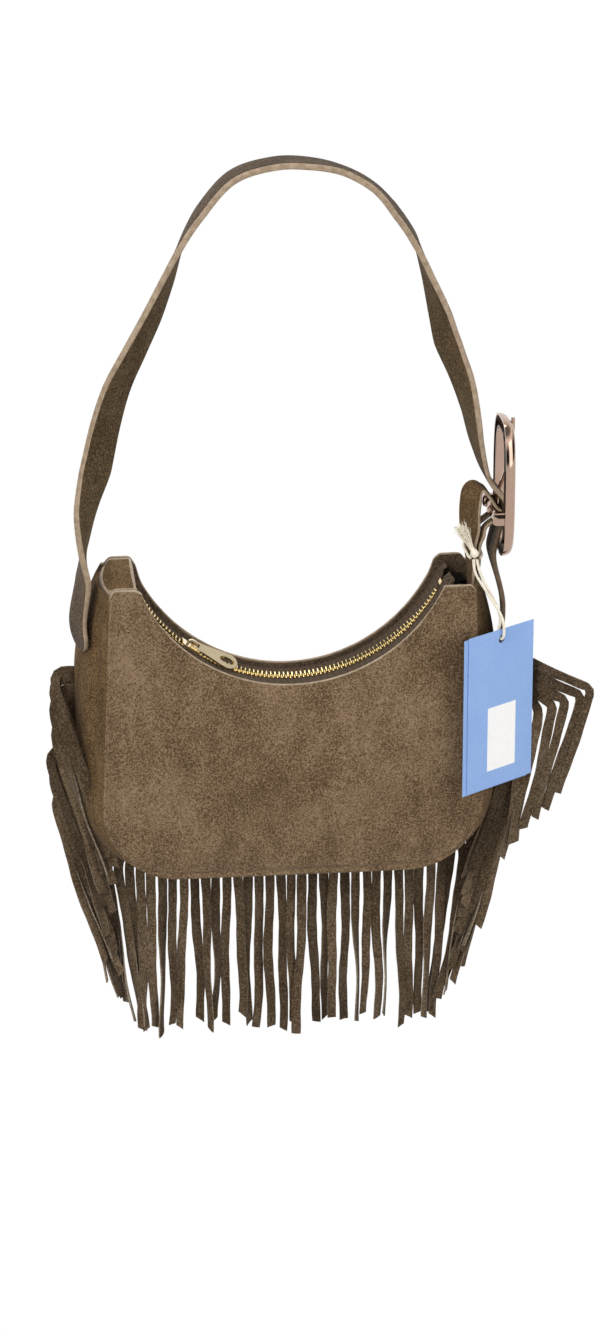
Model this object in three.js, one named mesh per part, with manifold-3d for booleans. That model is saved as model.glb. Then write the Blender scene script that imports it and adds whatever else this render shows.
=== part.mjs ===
// Fringed suede shoulder bag with a scooped zip mouth, a strap with a ring buckle and a swing tag.
// Millimetres. X runs to the wearer's right in front view, Y runs from front to back, Z is up.
// Shapes are drafted with Z = 0 at the base seam and moved at the end, so that the origin is where
// the strap's crown hangs.
import * as THREE from 'three';
import { mergeVertices } from 'three/addons/utils/BufferGeometryUtils.js';
import Module from 'manifold-3d';

// Body
const BODY_HEIGHT = 188;
const BODY_DEPTH = 50;
const FRONT_HALF_WIDTH = 120;
const FRONT_PEAK_HALF_WIDTH = 114;
const BACK_HALF_WIDTH = 134;
const BACK_PEAK_HALF_WIDTH = 116;
const BACK_SHOULDER_HEIGHT = 115;
const CORNER_RADIUS = 48;
const SUEDE = 1.6;
const FRONT_BULGE = 9;
const BACK_BULGE = 6;
const GUSSET_BULGE = 4;
const GAP = 0.3;

// Mouth: an arc between the two peaks, a little lower in front
const MOUTH_HALF_WIDTH = 94;
const MOUTH_DIP = 60;
const FRONT_LIP_DROP = 3;
const MOUTH_DEPTH = 36;
const PEAK_FLAP_LENGTH = 17;
const PEAK_FLAP_BEND = 4;

// Lining
const LINING_INSET = 4.5;
const LINING_THICKNESS = 0.8;
const LINING_TOP_DROP = 10.4;

// Zip
const ZIP_DROP = 4.2;
const ZIP_HALF_ANGLE = 62;
const ZIP_TAPE_THICKNESS = 0.7;
const ZIP_TAPE_OVERRUN = 2.5;
const TOOTH_PITCH = 2.75;
const TOOTH_LENGTH = 1.1;
const TOOTH_HEIGHT = 2.4;
const TOOTH_REACH = 0.5;
const TOOTH_ROOT = 2.2;
const BEAD_RADIUS = 0.8;
const OPEN_HALF_GAP = 6;
const OPEN_SPREAD_LENGTH = 13.9;
const STOP_LENGTH = 2.6;

// Zip slider and puller
const SLIDER_ANGLE = -36;
const SLIDER_LENGTH = 12;
const SLIDER_HALF_WIDTH = 4.7;
const SLIDER_SHOULDER = 6.4;
const SLIDER_PLATE = 1;
const SLIDER_WALL = 1;
const DIVIDER_HALF_WIDTH = 0.7;
const BAIL_HALF_LENGTH = 3.6;
const BAIL_HEIGHT = 4.2;
const BAIL_WIDTH = 2.4;
const BAIL_HOLE_HALF_LENGTH = 2;
const PULLER_LENGTH = 31;
const PULLER_THICKNESS = 1.4;
const PULLER_NECK = 3.3;
const PULLER_BELLY = 6.2;
const PULLER_EYE_LENGTH = 4;

// Strap
const STRAP_WIDTH = 25;
const STRAP_THICKNESS = 3;
const STRAP_RISE = 449;
const STRAP_SEWN_BOTTOM = 146;
const STRAP_TAIL_BOTTOM = 138;

// Ring buckle, its bar and its prong
const RING_HEIGHT = 88;
const RING_WIDTH = 50;
const RING_RIM = 8.5;
const RING_DOME = 6.5;
const RING_WALL = 1.3;
const RING_BACK_X = 131.5;
const RING_SQUARENESS = 3.4;
const BAR_X = 128;
const BAR_Z = 229;
const BAR_RADIUS = 2;
const BAR_ABOVE_RING_BOTTOM = 28;
const PRONG_WIDTH = 3.4;
const PRONG_THICKNESS = 2.2;
const PRONG_SLOT_WIDTH = 5.2;
const PRONG_SLOT_LENGTH = 20;
const TAB_WIDTH = 22;
const TAB_THICKNESS = 2;

// Fringe
const FRINGE_TOP_HEIGHT = 128;
const STRIP_COUNT = 78;
const STRIP_WIDTH = 5.5;
const STRIP_THICKNESS = 1;
const STRIP_LENGTH = 129;
const HEADING_THICKNESS = 1.1;
const HEADING_INSIDE = 3;
const HEADING_OUTSIDE = 4;
const SPLAYED_STRIPS = 6;
const STRIP_CLEARANCE = 0.35;
const STRIP_STEPS = 7;
const STRIP_ROOT = HEADING_OUTSIDE + 2;
const STRIP_FORWARD_RUN = 36;

// Swing tag
const CARD_WIDTH = 58;
const CARD_HEIGHT = 103;
const CARD_THICKNESS = 0.6;
const CARD_YAW = 37;
const CARD_CLEARANCE = 3;
const CARD_HOLE_DROP = 6.5;
const CARD_HOLE_RADIUS = 2.6;
const CARD_TOP = 157;
const CARD_ALONG = 92;
const HALF_CARDS_AND_STRING = 2.2;
const BACKING_SHIFT = 3;
const STICKER_WIDTH = 25;
const STICKER_HEIGHT = 42;
const STICKER_THICKNESS = 0.2;
const STICKER_GAP = 0.05;
const STRING_RADIUS = 0.9;
const STRING_WRAP_HEIGHT = 203;
const KNOT_RADIUS = 3;
const KNOT_CLEARANCE = 0.5;
const KNOT_LENGTH = 15;
const KNOT_LEAN = -24;

const wasm = await Module();
wasm.setup();

const HALF_DEPTH = BODY_DEPTH / 2;
const vector = (x, y, z) => new THREE.Vector3(x, y, z);
const radians = THREE.MathUtils.degToRad;
const mix = THREE.MathUtils.lerp;
const UP = vector(0, 0, 1);
const ACROSS = vector(0, 1, 0);

// Solids

// A closed geometry whose faces point outwards, with shared corners merged
function closed(geometry) {
  const bare = new THREE.BufferGeometry();
  bare.setAttribute('position', geometry.getAttribute('position').clone());
  if (geometry.index) {
    bare.setIndex(geometry.index.clone());
  }
  const merged = mergeVertices(bare, 1e-4);
  const points = merged.getAttribute('position');
  const faces = merged.index.array;
  const corner = [vector(0, 0, 0), vector(0, 0, 0), vector(0, 0, 0)];
  let volume = 0;
  for (let i = 0; i < faces.length; i += 3) {
    corner.forEach((point, k) => point.fromBufferAttribute(points, faces[i + k]));
    volume += corner[0].dot(corner[1].clone().cross(corner[2]));
  }
  if (volume < 0) {
    for (let i = 0; i < faces.length; i += 3) {
      const held = faces[i + 1];
      faces[i + 1] = faces[i + 2];
      faces[i + 2] = held;
    }
  }
  return merged;
}

function fromCorners(corners, faces) {
  const geometry = new THREE.BufferGeometry();
  geometry.setAttribute('position', new THREE.Float32BufferAttribute(corners.flatMap((p) => p.toArray()), 3));
  geometry.setIndex(faces);
  return closed(geometry);
}

// A solid through a row of closed sections, each with the same number of corners
function loft(sections, isRing = false) {
  const count = sections[0].length;
  const faces = [];
  const last = isRing ? sections.length : sections.length - 1;
  for (let i = 0; i < last; i += 1) {
    const next = (i + 1) % sections.length;
    for (let k = 0; k < count; k += 1) {
      const a = i * count + k;
      const b = i * count + ((k + 1) % count);
      const c = next * count + ((k + 1) % count);
      const d = next * count + k;
      faces.push(a, b, c, a, c, d);
    }
  }
  if (!isRing) {
    const end = (sections.length - 1) * count;
    for (let k = 1; k < count - 1; k += 1) {
      faces.push(0, k + 1, k);
      faces.push(end, end + k, end + k + 1);
    }
  }
  return fromCorners(sections.flat(), faces);
}

// A solid sheet between two surfaces, each a function of (u, v) that gives a point
function between(outer, inner, columns, rows) {
  const corners = [];
  const at = (side, i, j) => side * (columns + 1) * (rows + 1) + i * (rows + 1) + j;
  for (const surface of [outer, inner]) {
    for (let i = 0; i <= columns; i += 1) {
      for (let j = 0; j <= rows; j += 1) {
        corners.push(surface(i / columns, j / rows));
      }
    }
  }
  const faces = [];
  const quad = (a, b, c, d) => faces.push(a, b, c, a, c, d);
  for (let i = 0; i < columns; i += 1) {
    for (let j = 0; j < rows; j += 1) {
      quad(at(0, i, j), at(0, i + 1, j), at(0, i + 1, j + 1), at(0, i, j + 1));
      quad(at(1, i, j), at(1, i, j + 1), at(1, i + 1, j + 1), at(1, i + 1, j));
    }
    quad(at(0, i, 0), at(1, i, 0), at(1, i + 1, 0), at(0, i + 1, 0));
    quad(at(0, i, rows), at(0, i + 1, rows), at(1, i + 1, rows), at(1, i, rows));
  }
  for (let j = 0; j < rows; j += 1) {
    quad(at(0, 0, j), at(0, 0, j + 1), at(1, 0, j + 1), at(1, 0, j));
    quad(at(0, columns, j), at(1, columns, j), at(1, columns, j + 1), at(0, columns, j + 1));
  }
  return fromCorners(corners, faces);
}

function toSolid(geometry) {
  const merged = closed(geometry);
  return new wasm.Manifold(new wasm.Mesh({
    numProp: 3,
    vertProperties: new Float32Array(merged.getAttribute('position').array),
    triVerts: new Uint32Array(merged.index.array),
  }));
}

function fromSolid(solid) {
  const mesh = solid.getMesh();
  const geometry = new THREE.BufferGeometry();
  geometry.setAttribute('position', new THREE.BufferAttribute(new Float32Array(mesh.vertProperties), 3));
  geometry.setIndex(Array.from(mesh.triVerts));
  return closed(geometry);
}

const joined = (geometries) => geometries.map(toSolid).reduce((whole, piece) => whole.add(piece));

// A band's section: width along one direction, thickness along the other, with bevelled edges
function bandSection(centre, widthWay, thickWay, width, thickness, bevel = thickness * 0.3) {
  const w = width / 2;
  const t = thickness / 2;
  const outline = [
    [-w, -t + bevel], [-w, t - bevel], [-w + bevel, t], [w - bevel, t],
    [w, t - bevel], [w, -t + bevel], [w - bevel, -t], [-w + bevel, -t],
  ];
  return outline.map(([a, b]) => centre.clone().addScaledVector(widthWay, a).addScaledVector(thickWay, b));
}

function flatSection(centre, widthWay, thickWay, width, thickness) {
  const w = width / 2;
  const t = thickness / 2;
  return [[-w, -t], [-w, t], [w, t], [w, -t]]
    .map(([a, b]) => centre.clone().addScaledVector(widthWay, a).addScaledVector(thickWay, b));
}

function tube(points, radius, steps, sides = 8) {
  const section = new THREE.Shape();
  for (let k = 0; k < sides; k += 1) {
    const angle = (k / sides) * Math.PI * 2;
    section[k === 0 ? 'moveTo' : 'lineTo'](radius * Math.cos(angle), radius * Math.sin(angle));
  }
  const curve = new THREE.CatmullRomCurve3(points, false, 'centripetal');
  return closed(new THREE.ExtrudeGeometry(section, { extrudePath: curve, steps, bevelEnabled: false }));
}

// The body's outline, from s = -1 at the left peak round the base to s = 1 at the right peak.
// blend is 0 on the front panel and 1 on the back one.
const STRAIGHT_BASE_SHARE = 0.25;
const CORNER_END_SHARE = 0.51;

function frontHalfWidth(z) {
  const rise = Math.max(0, z - CORNER_RADIUS) / (BODY_HEIGHT - CORNER_RADIUS);
  return mix(FRONT_HALF_WIDTH, FRONT_PEAK_HALF_WIDTH, rise);
}

function backHalfWidth(z) {
  const rise = Math.max(0, z - BACK_SHOULDER_HEIGHT) / (BODY_HEIGHT - BACK_SHOULDER_HEIGHT);
  return BACK_HALF_WIDTH - (BACK_HALF_WIDTH - BACK_PEAK_HALF_WIDTH) * rise ** 2.5;
}

const halfWidth = (z, blend) => mix(frontHalfWidth(z), backHalfWidth(z), blend);

function outline(s, blend, inset = 0) {
  const share = Math.abs(s);
  const width = halfWidth(0, blend) - inset;
  const radius = CORNER_RADIUS - inset;
  const side = Math.sign(s) || 1;
  if (share < STRAIGHT_BASE_SHARE) {
    return new THREE.Vector2(side * (share / STRAIGHT_BASE_SHARE) * (width - radius), inset);
  }
  if (share < CORNER_END_SHARE) {
    const turn = ((share - STRAIGHT_BASE_SHARE) / (CORNER_END_SHARE - STRAIGHT_BASE_SHARE)) * (Math.PI / 2);
    return new THREE.Vector2(
      side * (width - radius + radius * Math.sin(turn)),
      inset + radius * (1 - Math.cos(turn)),
    );
  }
  const z = mix(CORNER_RADIUS, BODY_HEIGHT, (share - CORNER_END_SHARE) / (1 - CORNER_END_SHARE));
  return new THREE.Vector2(side * (halfWidth(z, blend) - inset), z);
}

// The outline's outward direction
function outlineNormal(s, blend) {
  const step = 0.004;
  const along = outline(Math.min(1, s + step), blend).sub(outline(Math.max(-1, s - step), blend)).normalize();
  return new THREE.Vector2(along.y, -along.x);
}

// Mouth

const MOUTH_RADIUS = (MOUTH_HALF_WIDTH ** 2 + MOUTH_DIP ** 2) / (2 * MOUTH_DIP);
const MOUTH_CENTRE_Z = BODY_HEIGHT - MOUTH_DIP + MOUTH_RADIUS;
const MOUTH_HALF_ANGLE = Math.asin(MOUTH_HALF_WIDTH / MOUTH_RADIUS);
const PEAK_COLUMNS = 1 / 14;

function mouthHalfDepth(x) {
  return mix(MOUTH_DEPTH / 2, HALF_DEPTH, Math.min(1, (x / MOUTH_HALF_WIDTH) ** 2));
}

// The top edge of a panel, u from 0 at the left peak's outer corner to 1 at the right one's
function mouthEdge(u, blend, inset, drop) {
  const fromPeak = Math.min(u, 1 - u) / PEAK_COLUMNS;
  if (fromPeak < 1) {
    const x = mix(halfWidth(BODY_HEIGHT, blend) - inset, MOUTH_HALF_WIDTH, fromPeak);
    return new THREE.Vector2(u < 0.5 ? -x : x, BODY_HEIGHT - drop);
  }
  const angle = mix(-MOUTH_HALF_ANGLE, MOUTH_HALF_ANGLE, (u - PEAK_COLUMNS) / (1 - 2 * PEAK_COLUMNS));
  const lip = FRONT_LIP_DROP * (1 - blend) * Math.cos((angle / MOUTH_HALF_ANGLE) * (Math.PI / 2));
  return new THREE.Vector2(
    MOUTH_RADIUS * Math.sin(angle),
    MOUTH_CENTRE_Z - drop - lip - MOUTH_RADIUS * Math.cos(angle),
  );
}

// A panel's outer face: a patch between the base and corners, the two sides and the mouth's edge.
// facing is -1 for the front panel and 1 for the back one.
const CORNER_MIDDLE = (STRAIGHT_BASE_SHARE + CORNER_END_SHARE) / 2;

function panelFace(facing, bulge, inset = 0, drop = 0) {
  const blend = facing < 0 ? 0 : 1;
  const base = (u) => outline(mix(-CORNER_MIDDLE, CORNER_MIDDLE, u), blend, inset);
  const side = (v, sign) => {
    const point = outline(sign * mix(CORNER_MIDDLE, 1, v), blend, inset);
    point.y -= drop * v;
    return point;
  };
  const top = (u) => mouthEdge(u, blend, inset, drop);
  return (u, v) => {
    const flat = new THREE.Vector2();
    flat.addScaledVector(base(u), 1 - v).addScaledVector(top(u), v);
    flat.addScaledVector(side(v, -1), 1 - u).addScaledVector(side(v, 1), u);
    flat.addScaledVector(base(0), -(1 - u) * (1 - v)).addScaledVector(base(1), -u * (1 - v));
    flat.addScaledVector(top(0), -(1 - u) * v).addScaledVector(top(1), -u * v);
    const fromSide = Math.min(1, 8 * u * (1 - u));
    const rim = mix(HALF_DEPTH, mouthHalfDepth(top(u).x), fromSide * v ** 2);
    const swell = bulge * Math.sin(Math.PI * u) ** 0.8 * Math.sin(Math.PI * v ** 0.85);
    return vector(flat.x, facing * (rim + swell - inset), flat.y);
  };
}

function pushedBack(face, facing, thickness) {
  const step = 0.01;
  return (u, v) => {
    const along = face(Math.min(1, u + step), v).sub(face(Math.max(0, u - step), v));
    const up = face(u, Math.min(1, v + step)).sub(face(u, Math.max(0, v - step)));
    const normal = along.cross(up).normalize();
    if (normal.y * facing > 0) {
      normal.negate();
    }
    return face(u, v).addScaledVector(normal, thickness);
  };
}

function panel(facing, bulge, columns, rows) {
  const face = panelFace(facing, bulge);
  return between(face, pushedBack(face, facing, SUEDE), columns, rows);
}

// Gusset: from the flap at the left peak round the base to the right peak
const FRINGE_Y = HALF_DEPTH - SUEDE - GAP - HEADING_THICKNESS / 2;
const GUSSET_FRONT_Y = -HALF_DEPTH + SUEDE + GAP;
const GUSSET_BACK_Y = FRINGE_Y - HEADING_THICKNESS / 2 - GAP;
const FLAP_SHARE = 0.1;

function gussetPoint(s, t, depthIn) {
  const swell = GUSSET_BULGE * Math.sin(Math.PI * t);
  const y = mix(GUSSET_FRONT_Y, GUSSET_BACK_Y, t);
  if (s < -1) {
    const along = (-1 - s) / FLAP_SHARE;
    const start = halfWidth(BODY_HEIGHT, t) + swell;
    const bend = PEAK_FLAP_BEND;
    const turn = Math.min(1, along / 0.3) * (Math.PI / 2);
    const run = Math.max(0, along - 0.3) / 0.7;
    const reach = PEAK_FLAP_LENGTH + start - halfWidth(BODY_HEIGHT, 0) - bend;
    const radius = bend - depthIn;
    return vector(
      -start + bend - radius * Math.cos(turn) + run * reach,
      y,
      BODY_HEIGHT - bend + radius * Math.sin(turn),
    );
  }
  const point = outline(s, t);
  const normal = outlineNormal(s, t);
  if (s < -0.97) {
    point.y = Math.min(point.y, BODY_HEIGHT - PEAK_FLAP_BEND);
  }
  const fade = Math.min(1, Math.max(0, (Math.abs(s) - STRAIGHT_BASE_SHARE) / 0.2) + 0.35);
  const blendOut = Math.abs(s) > 0.9 ? mix(fade, 1, (Math.abs(s) - 0.9) / 0.1) : fade;
  point.addScaledVector(normal, swell * blendOut - depthIn);
  if (s === -1) {
    point.x = -halfWidth(BODY_HEIGHT, t) - swell + depthIn;
    point.y = BODY_HEIGHT - PEAK_FLAP_BEND;
  }
  return vector(point.x, y, point.y);
}

function gusset() {
  const at = (u) => {
    const s = mix(-1 - FLAP_SHARE, 1, u);
    return Math.abs(s + 1) < 1e-9 ? -1 : s;
  };
  return between((u, v) => gussetPoint(at(u), v, 0), (u, v) => gussetPoint(at(u), v, SUEDE), 66, 4);
}

// The outside of the gusset at height z, half way up its side or more
function gussetOutside(z, t) {
  return halfWidth(z, t) + GUSSET_BULGE * Math.sin(Math.PI * t);
}

function gussetShare(y) {
  return (y - GUSSET_FRONT_Y) / (GUSSET_BACK_Y - GUSSET_FRONT_Y);
}

// Two sheets and a strip between them, sewn into an open pouch
function lining() {
  const sheet = (facing, bulge) => {
    const face = panelFace(facing, bulge, LINING_INSET, LINING_TOP_DROP);
    return between(face, pushedBack(face, facing, LINING_THICKNESS), 14, 4);
  };
  const reach = HALF_DEPTH - LINING_INSET;
  const side = (inset) => (u, v) => {
    const point = outline(mix(-1, 1, u), v, inset);
    const top = BODY_HEIGHT - LINING_TOP_DROP - 1;
    return vector(point.x, mix(-reach, reach, v), Math.min(point.y, top));
  };
  const strip = between(side(LINING_INSET), side(LINING_INSET + LINING_THICKNESS), 36, 1);
  return fromSolid(joined([sheet(-1, FRONT_BULGE), sheet(1, BACK_BULGE), strip]));
}

// Zip, laid along an arc about the mouth's centre
const ZIP_RADIUS = MOUTH_RADIUS + ZIP_DROP;
const ZIP_END = radians(ZIP_HALF_ANGLE);
const SLIDER_AT = radians(SLIDER_ANGLE);

// Half the distance between the two rows beyond the closed chain, at an angle along the arc
function zipOpening(angle) {
  const past = Math.max(0, SLIDER_AT - angle) * ZIP_RADIUS;
  return OPEN_HALF_GAP * (1 - Math.exp(-past / OPEN_SPREAD_LENGTH));
}

function onZip(angle, y, height) {
  const radius = ZIP_RADIUS - height;
  return vector(radius * Math.sin(angle), y, MOUTH_CENTRE_Z - radius * Math.cos(angle));
}

// Turns a piece drafted with x towards the open end, y across and z out of the chain onto the zip
function placeOnZip(geometry, angle, y) {
  const alongOpen = vector(-Math.cos(angle), 0, -Math.sin(angle));
  const out = vector(-Math.sin(angle), 0, Math.cos(angle));
  const matrix = new THREE.Matrix4().makeBasis(alongOpen, out.clone().cross(alongOpen), out);
  matrix.setPosition(onZip(angle, y, 0));
  return geometry.applyMatrix4(matrix);
}

const TAPE_INNER = TOOTH_ROOT + BEAD_RADIUS + 2 * GAP;

function zipTape(facing) {
  const overrun = ZIP_TAPE_OVERRUN / ZIP_RADIUS;
  const face = (height) => (u, v) => {
    const angle = mix(-ZIP_END - overrun, ZIP_END + overrun, u);
    const sewn = mouthHalfDepth(onZip(angle, 0, 0).x) - SUEDE - GAP;
    const inner = TAPE_INNER + zipOpening(angle);
    return onZip(angle, facing * mix(sewn - 0.6, inner, v), height);
  };
  return between(face(ZIP_TAPE_THICKNESS / 2), face(-ZIP_TAPE_THICKNESS / 2), 36, 1);
}

// One row of teeth, joined by the bead that they are clamped on: a comb drafted flat, with its
// length in x and its teeth reaching past y = 0, then bent onto the zip
const TEETH_TO_A_SPAN = 2;

function zipTeeth(facing) {
  const half = ZIP_END * ZIP_RADIUS;
  const count = Math.floor((2 * half) / TOOTH_PITCH) - 1;
  const offset = facing < 0 ? 0.6 : 1.1;
  const root = TOOTH_ROOT - BEAD_RADIUS;
  const edge = TOOTH_ROOT + BEAD_RADIUS;
  const flat = [];
  const triangles = [];
  const front = [];
  const back = [];
  const point = (x, y) => flat.push(new THREE.Vector2(x, y)) - 1;
  let spanStart = point(-half, root);
  let edgeStart = point(-half, edge);
  front.push(spanStart);
  back.push(edgeStart);
  for (let first = 0; first < count; first += TEETH_TO_A_SPAN) {
    const span = [edgeStart, spanStart];
    const past = Math.min(count, first + TEETH_TO_A_SPAN);
    for (let i = first; i < past; i += 1) {
      const left = -half + (i + offset) * TOOTH_PITCH - TOOTH_LENGTH / 2;
      const right = left + TOOTH_LENGTH;
      span.push(point(left, root), point(left, -TOOTH_REACH), point(right, -TOOTH_REACH), point(right, root));
    }
    const spanEnd = past === count ? half : -half + (past + offset - 0.5) * TOOTH_PITCH;
    spanStart = point(spanEnd, root);
    edgeStart = point(spanEnd, edge);
    span.push(spanStart, edgeStart);
    front.push(...span.slice(2, -1));
    back.push(edgeStart);
    THREE.ShapeUtils.triangulateShape(span.map((k) => flat[k]), [])
      .forEach((face) => triangles.push(face.map((k) => span[k])));
  }
  const bent = (height) => flat.map(({ x, y }) => {
    const angle = x / ZIP_RADIUS;
    return onZip(angle, facing * (y + zipOpening(angle)), height);
  });
  const under = flat.length;
  const faces = triangles.flatMap(([a, b, c]) => [a, b, c, under + a, under + c, under + b]);
  const rim = [...front, ...back.reverse()];
  rim.forEach((a, i) => {
    const b = rim[(i + 1) % rim.length];
    faces.push(b, a, under + a, b, under + a, under + b);
  });
  return fromCorners([...bent(TOOTH_HEIGHT / 2), ...bent(-TOOTH_HEIGHT / 2)], faces);
}

const STOP_SIZE = TOOTH_HEIGHT;

function zipTopStop(facing) {
  const stop = new THREE.BoxGeometry(STOP_LENGTH, STOP_SIZE, STOP_SIZE);
  const angle = -ZIP_END - (STOP_LENGTH / 2 + GAP) / ZIP_RADIUS;
  const y = TAPE_INNER + zipOpening(angle) - GAP - STOP_SIZE / 2 - 0.1;
  return closed(placeOnZip(stop, angle, facing * y));
}

function zipBottomStop() {
  const stop = new THREE.BoxGeometry(STOP_LENGTH, 2 * (TAPE_INNER - GAP), STOP_SIZE);
  return closed(placeOnZip(stop, ZIP_END + (STOP_LENGTH / 2 + GAP) / ZIP_RADIUS, 0));
}

// Slider: two plates joined by side walls turned over the rows and by a divider at the open end
const CHANNEL_HALF_HEIGHT = TOOTH_HEIGHT / 2 + GAP;
const SLIDER_TOP = CHANNEL_HALF_HEIGHT + SLIDER_PLATE;
const BAIL_PIVOT = SLIDER_TOP + BAIL_HEIGHT * 0.36;

function shieldShape(margin, overshoot) {
  const half = SLIDER_LENGTH / 2 + overshoot;
  const narrow = SLIDER_HALF_WIDTH - margin;
  const wide = SLIDER_SHOULDER - margin;
  const shape = new THREE.Shape();
  shape.moveTo(-half, -narrow);
  shape.lineTo(-1.5, -narrow);
  shape.quadraticCurveTo(1, -narrow, 3, -wide);
  shape.lineTo(half, -wide);
  shape.lineTo(half, wide);
  shape.lineTo(3, wide);
  shape.quadraticCurveTo(1, narrow, -1.5, narrow);
  shape.lineTo(-half, narrow);
  return shape;
}

function slab(shape, from, to, curveSegments = 4) {
  const geometry = new THREE.ExtrudeGeometry(shape, { depth: to - from, bevelEnabled: false, curveSegments });
  return geometry.translate(0, 0, from);
}

// The bail is drafted in its side view and stood up across the slider
function standUp(geometry, width) {
  return geometry.rotateX(Math.PI / 2).translate(0, width / 2, 0);
}

function bailShape() {
  const shape = new THREE.Shape();
  shape.moveTo(-BAIL_HALF_LENGTH, SLIDER_TOP - 0.2);
  shape.quadraticCurveTo(-BAIL_HALF_LENGTH, SLIDER_TOP + BAIL_HEIGHT, 0, SLIDER_TOP + BAIL_HEIGHT);
  shape.quadraticCurveTo(BAIL_HALF_LENGTH, SLIDER_TOP + BAIL_HEIGHT, BAIL_HALF_LENGTH, SLIDER_TOP - 0.2);
  const hole = new THREE.Path();
  const low = SLIDER_TOP + 0.15;
  const high = SLIDER_TOP + BAIL_HEIGHT * 0.68;
  hole.moveTo(-BAIL_HOLE_HALF_LENGTH, low);
  hole.lineTo(BAIL_HOLE_HALF_LENGTH, low);
  hole.quadraticCurveTo(BAIL_HOLE_HALF_LENGTH, high, 0, high);
  hole.quadraticCurveTo(-BAIL_HOLE_HALF_LENGTH, high, -BAIL_HOLE_HALF_LENGTH, low);
  shape.holes.push(hole);
  return shape;
}

function zipSlider() {
  const slot = ZIP_TAPE_THICKNESS / 2 + GAP;
  const upper = toSolid(slab(shieldShape(0, 0), slot, SLIDER_TOP));
  const lower = toSolid(slab(shieldShape(0, 0), -SLIDER_TOP, -slot));
  const channel = toSolid(slab(shieldShape(SLIDER_WALL, 1), -CHANNEL_HALF_HEIGHT, CHANNEL_HALF_HEIGHT));
  const divider = new THREE.Shape();
  divider.moveTo(3.9, 0);
  divider.lineTo(5, -DIVIDER_HALF_WIDTH);
  divider.lineTo(SLIDER_LENGTH / 2, 0);
  divider.lineTo(5, DIVIDER_HALF_WIDTH);
  const post = toSolid(slab(divider, -SLIDER_TOP + 0.2, SLIDER_TOP - 0.2));
  const bail = toSolid(standUp(slab(bailShape(), 0, BAIL_WIDTH, 6), BAIL_WIDTH));
  const whole = upper.add(lower).subtract(channel).add(post).add(bail);
  return closed(placeOnZip(fromSolid(whole), SLIDER_AT, 0));
}

// Puller: a drop-shaped plate with an eye for the bail and a window, its tip resting on the chain
const PULLER_SAG = PULLER_LENGTH ** 2 / (2 * ZIP_RADIUS);
const PULLER_TILT = Math.asin(
  (PULLER_SAG + TOOTH_HEIGHT / 2 + 2 * GAP + PULLER_THICKNESS / 2 - BAIL_PIVOT) / PULLER_LENGTH,
);

function zipPuller() {
  const bar = PULLER_THICKNESS / 2;
  const shape = new THREE.Shape();
  const belly = -PULLER_LENGTH + PULLER_BELLY;
  shape.moveTo(bar, -PULLER_NECK + 0.8);
  shape.quadraticCurveTo(bar, -PULLER_NECK, bar - 0.8, -PULLER_NECK);
  shape.bezierCurveTo(-10, -PULLER_NECK + 0.5, belly + 5, -PULLER_BELLY, belly, -PULLER_BELLY);
  shape.absarc(belly, 0, PULLER_BELLY, -Math.PI / 2, Math.PI / 2, true);
  shape.bezierCurveTo(belly + 5, PULLER_BELLY, -10, PULLER_NECK - 0.5, bar - 0.8, PULLER_NECK);
  shape.quadraticCurveTo(bar, PULLER_NECK, bar, PULLER_NECK - 0.8);
  const eye = new THREE.Path();
  const eyeHalf = BAIL_WIDTH / 2 + 0.5;
  eye.moveTo(-bar - 0.15, -eyeHalf);
  eye.lineTo(-bar - 0.15, eyeHalf);
  eye.lineTo(-bar - PULLER_EYE_LENGTH, eyeHalf);
  eye.lineTo(-bar - PULLER_EYE_LENGTH, -eyeHalf);
  const window = new THREE.Path();
  window.absellipse(belly + 0.8, 0, 5, 2.7, 0, Math.PI * 2, false);
  shape.holes.push(eye, window);
  const plate = slab(shape, -PULLER_THICKNESS / 2, PULLER_THICKNESS / 2, 7);
  plate.rotateY(PULLER_TILT);
  plate.translate(0, 0, BAIL_PIVOT);
  return closed(placeOnZip(plate, SLIDER_AT, 0));
}

// Strap: one band from the left gusset, over the crown and through the buckle
const STRAP_SEWN_X = -(gussetOutside(STRAP_SEWN_BOTTOM, 0.5) + GAP + STRAP_THICKNESS / 2);
const STRAP_TAIL_X = gussetOutside(STRAP_TAIL_BOTTOM, gussetShare(STRAP_WIDTH / 2))
  + STRAP_THICKNESS / 2 + 3 * GAP;
const TAB_WRAP_RADIUS = BAR_RADIUS + GAP + TAB_THICKNESS;
const STRAP_OVER_BAR = TAB_WRAP_RADIUS + 2 * GAP + STRAP_THICKNESS / 2;
const RING_BOTTOM = BAR_Z - BAR_ABOVE_RING_BOTTOM;
const RING_TOP = RING_BOTTOM + RING_HEIGHT;

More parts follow.
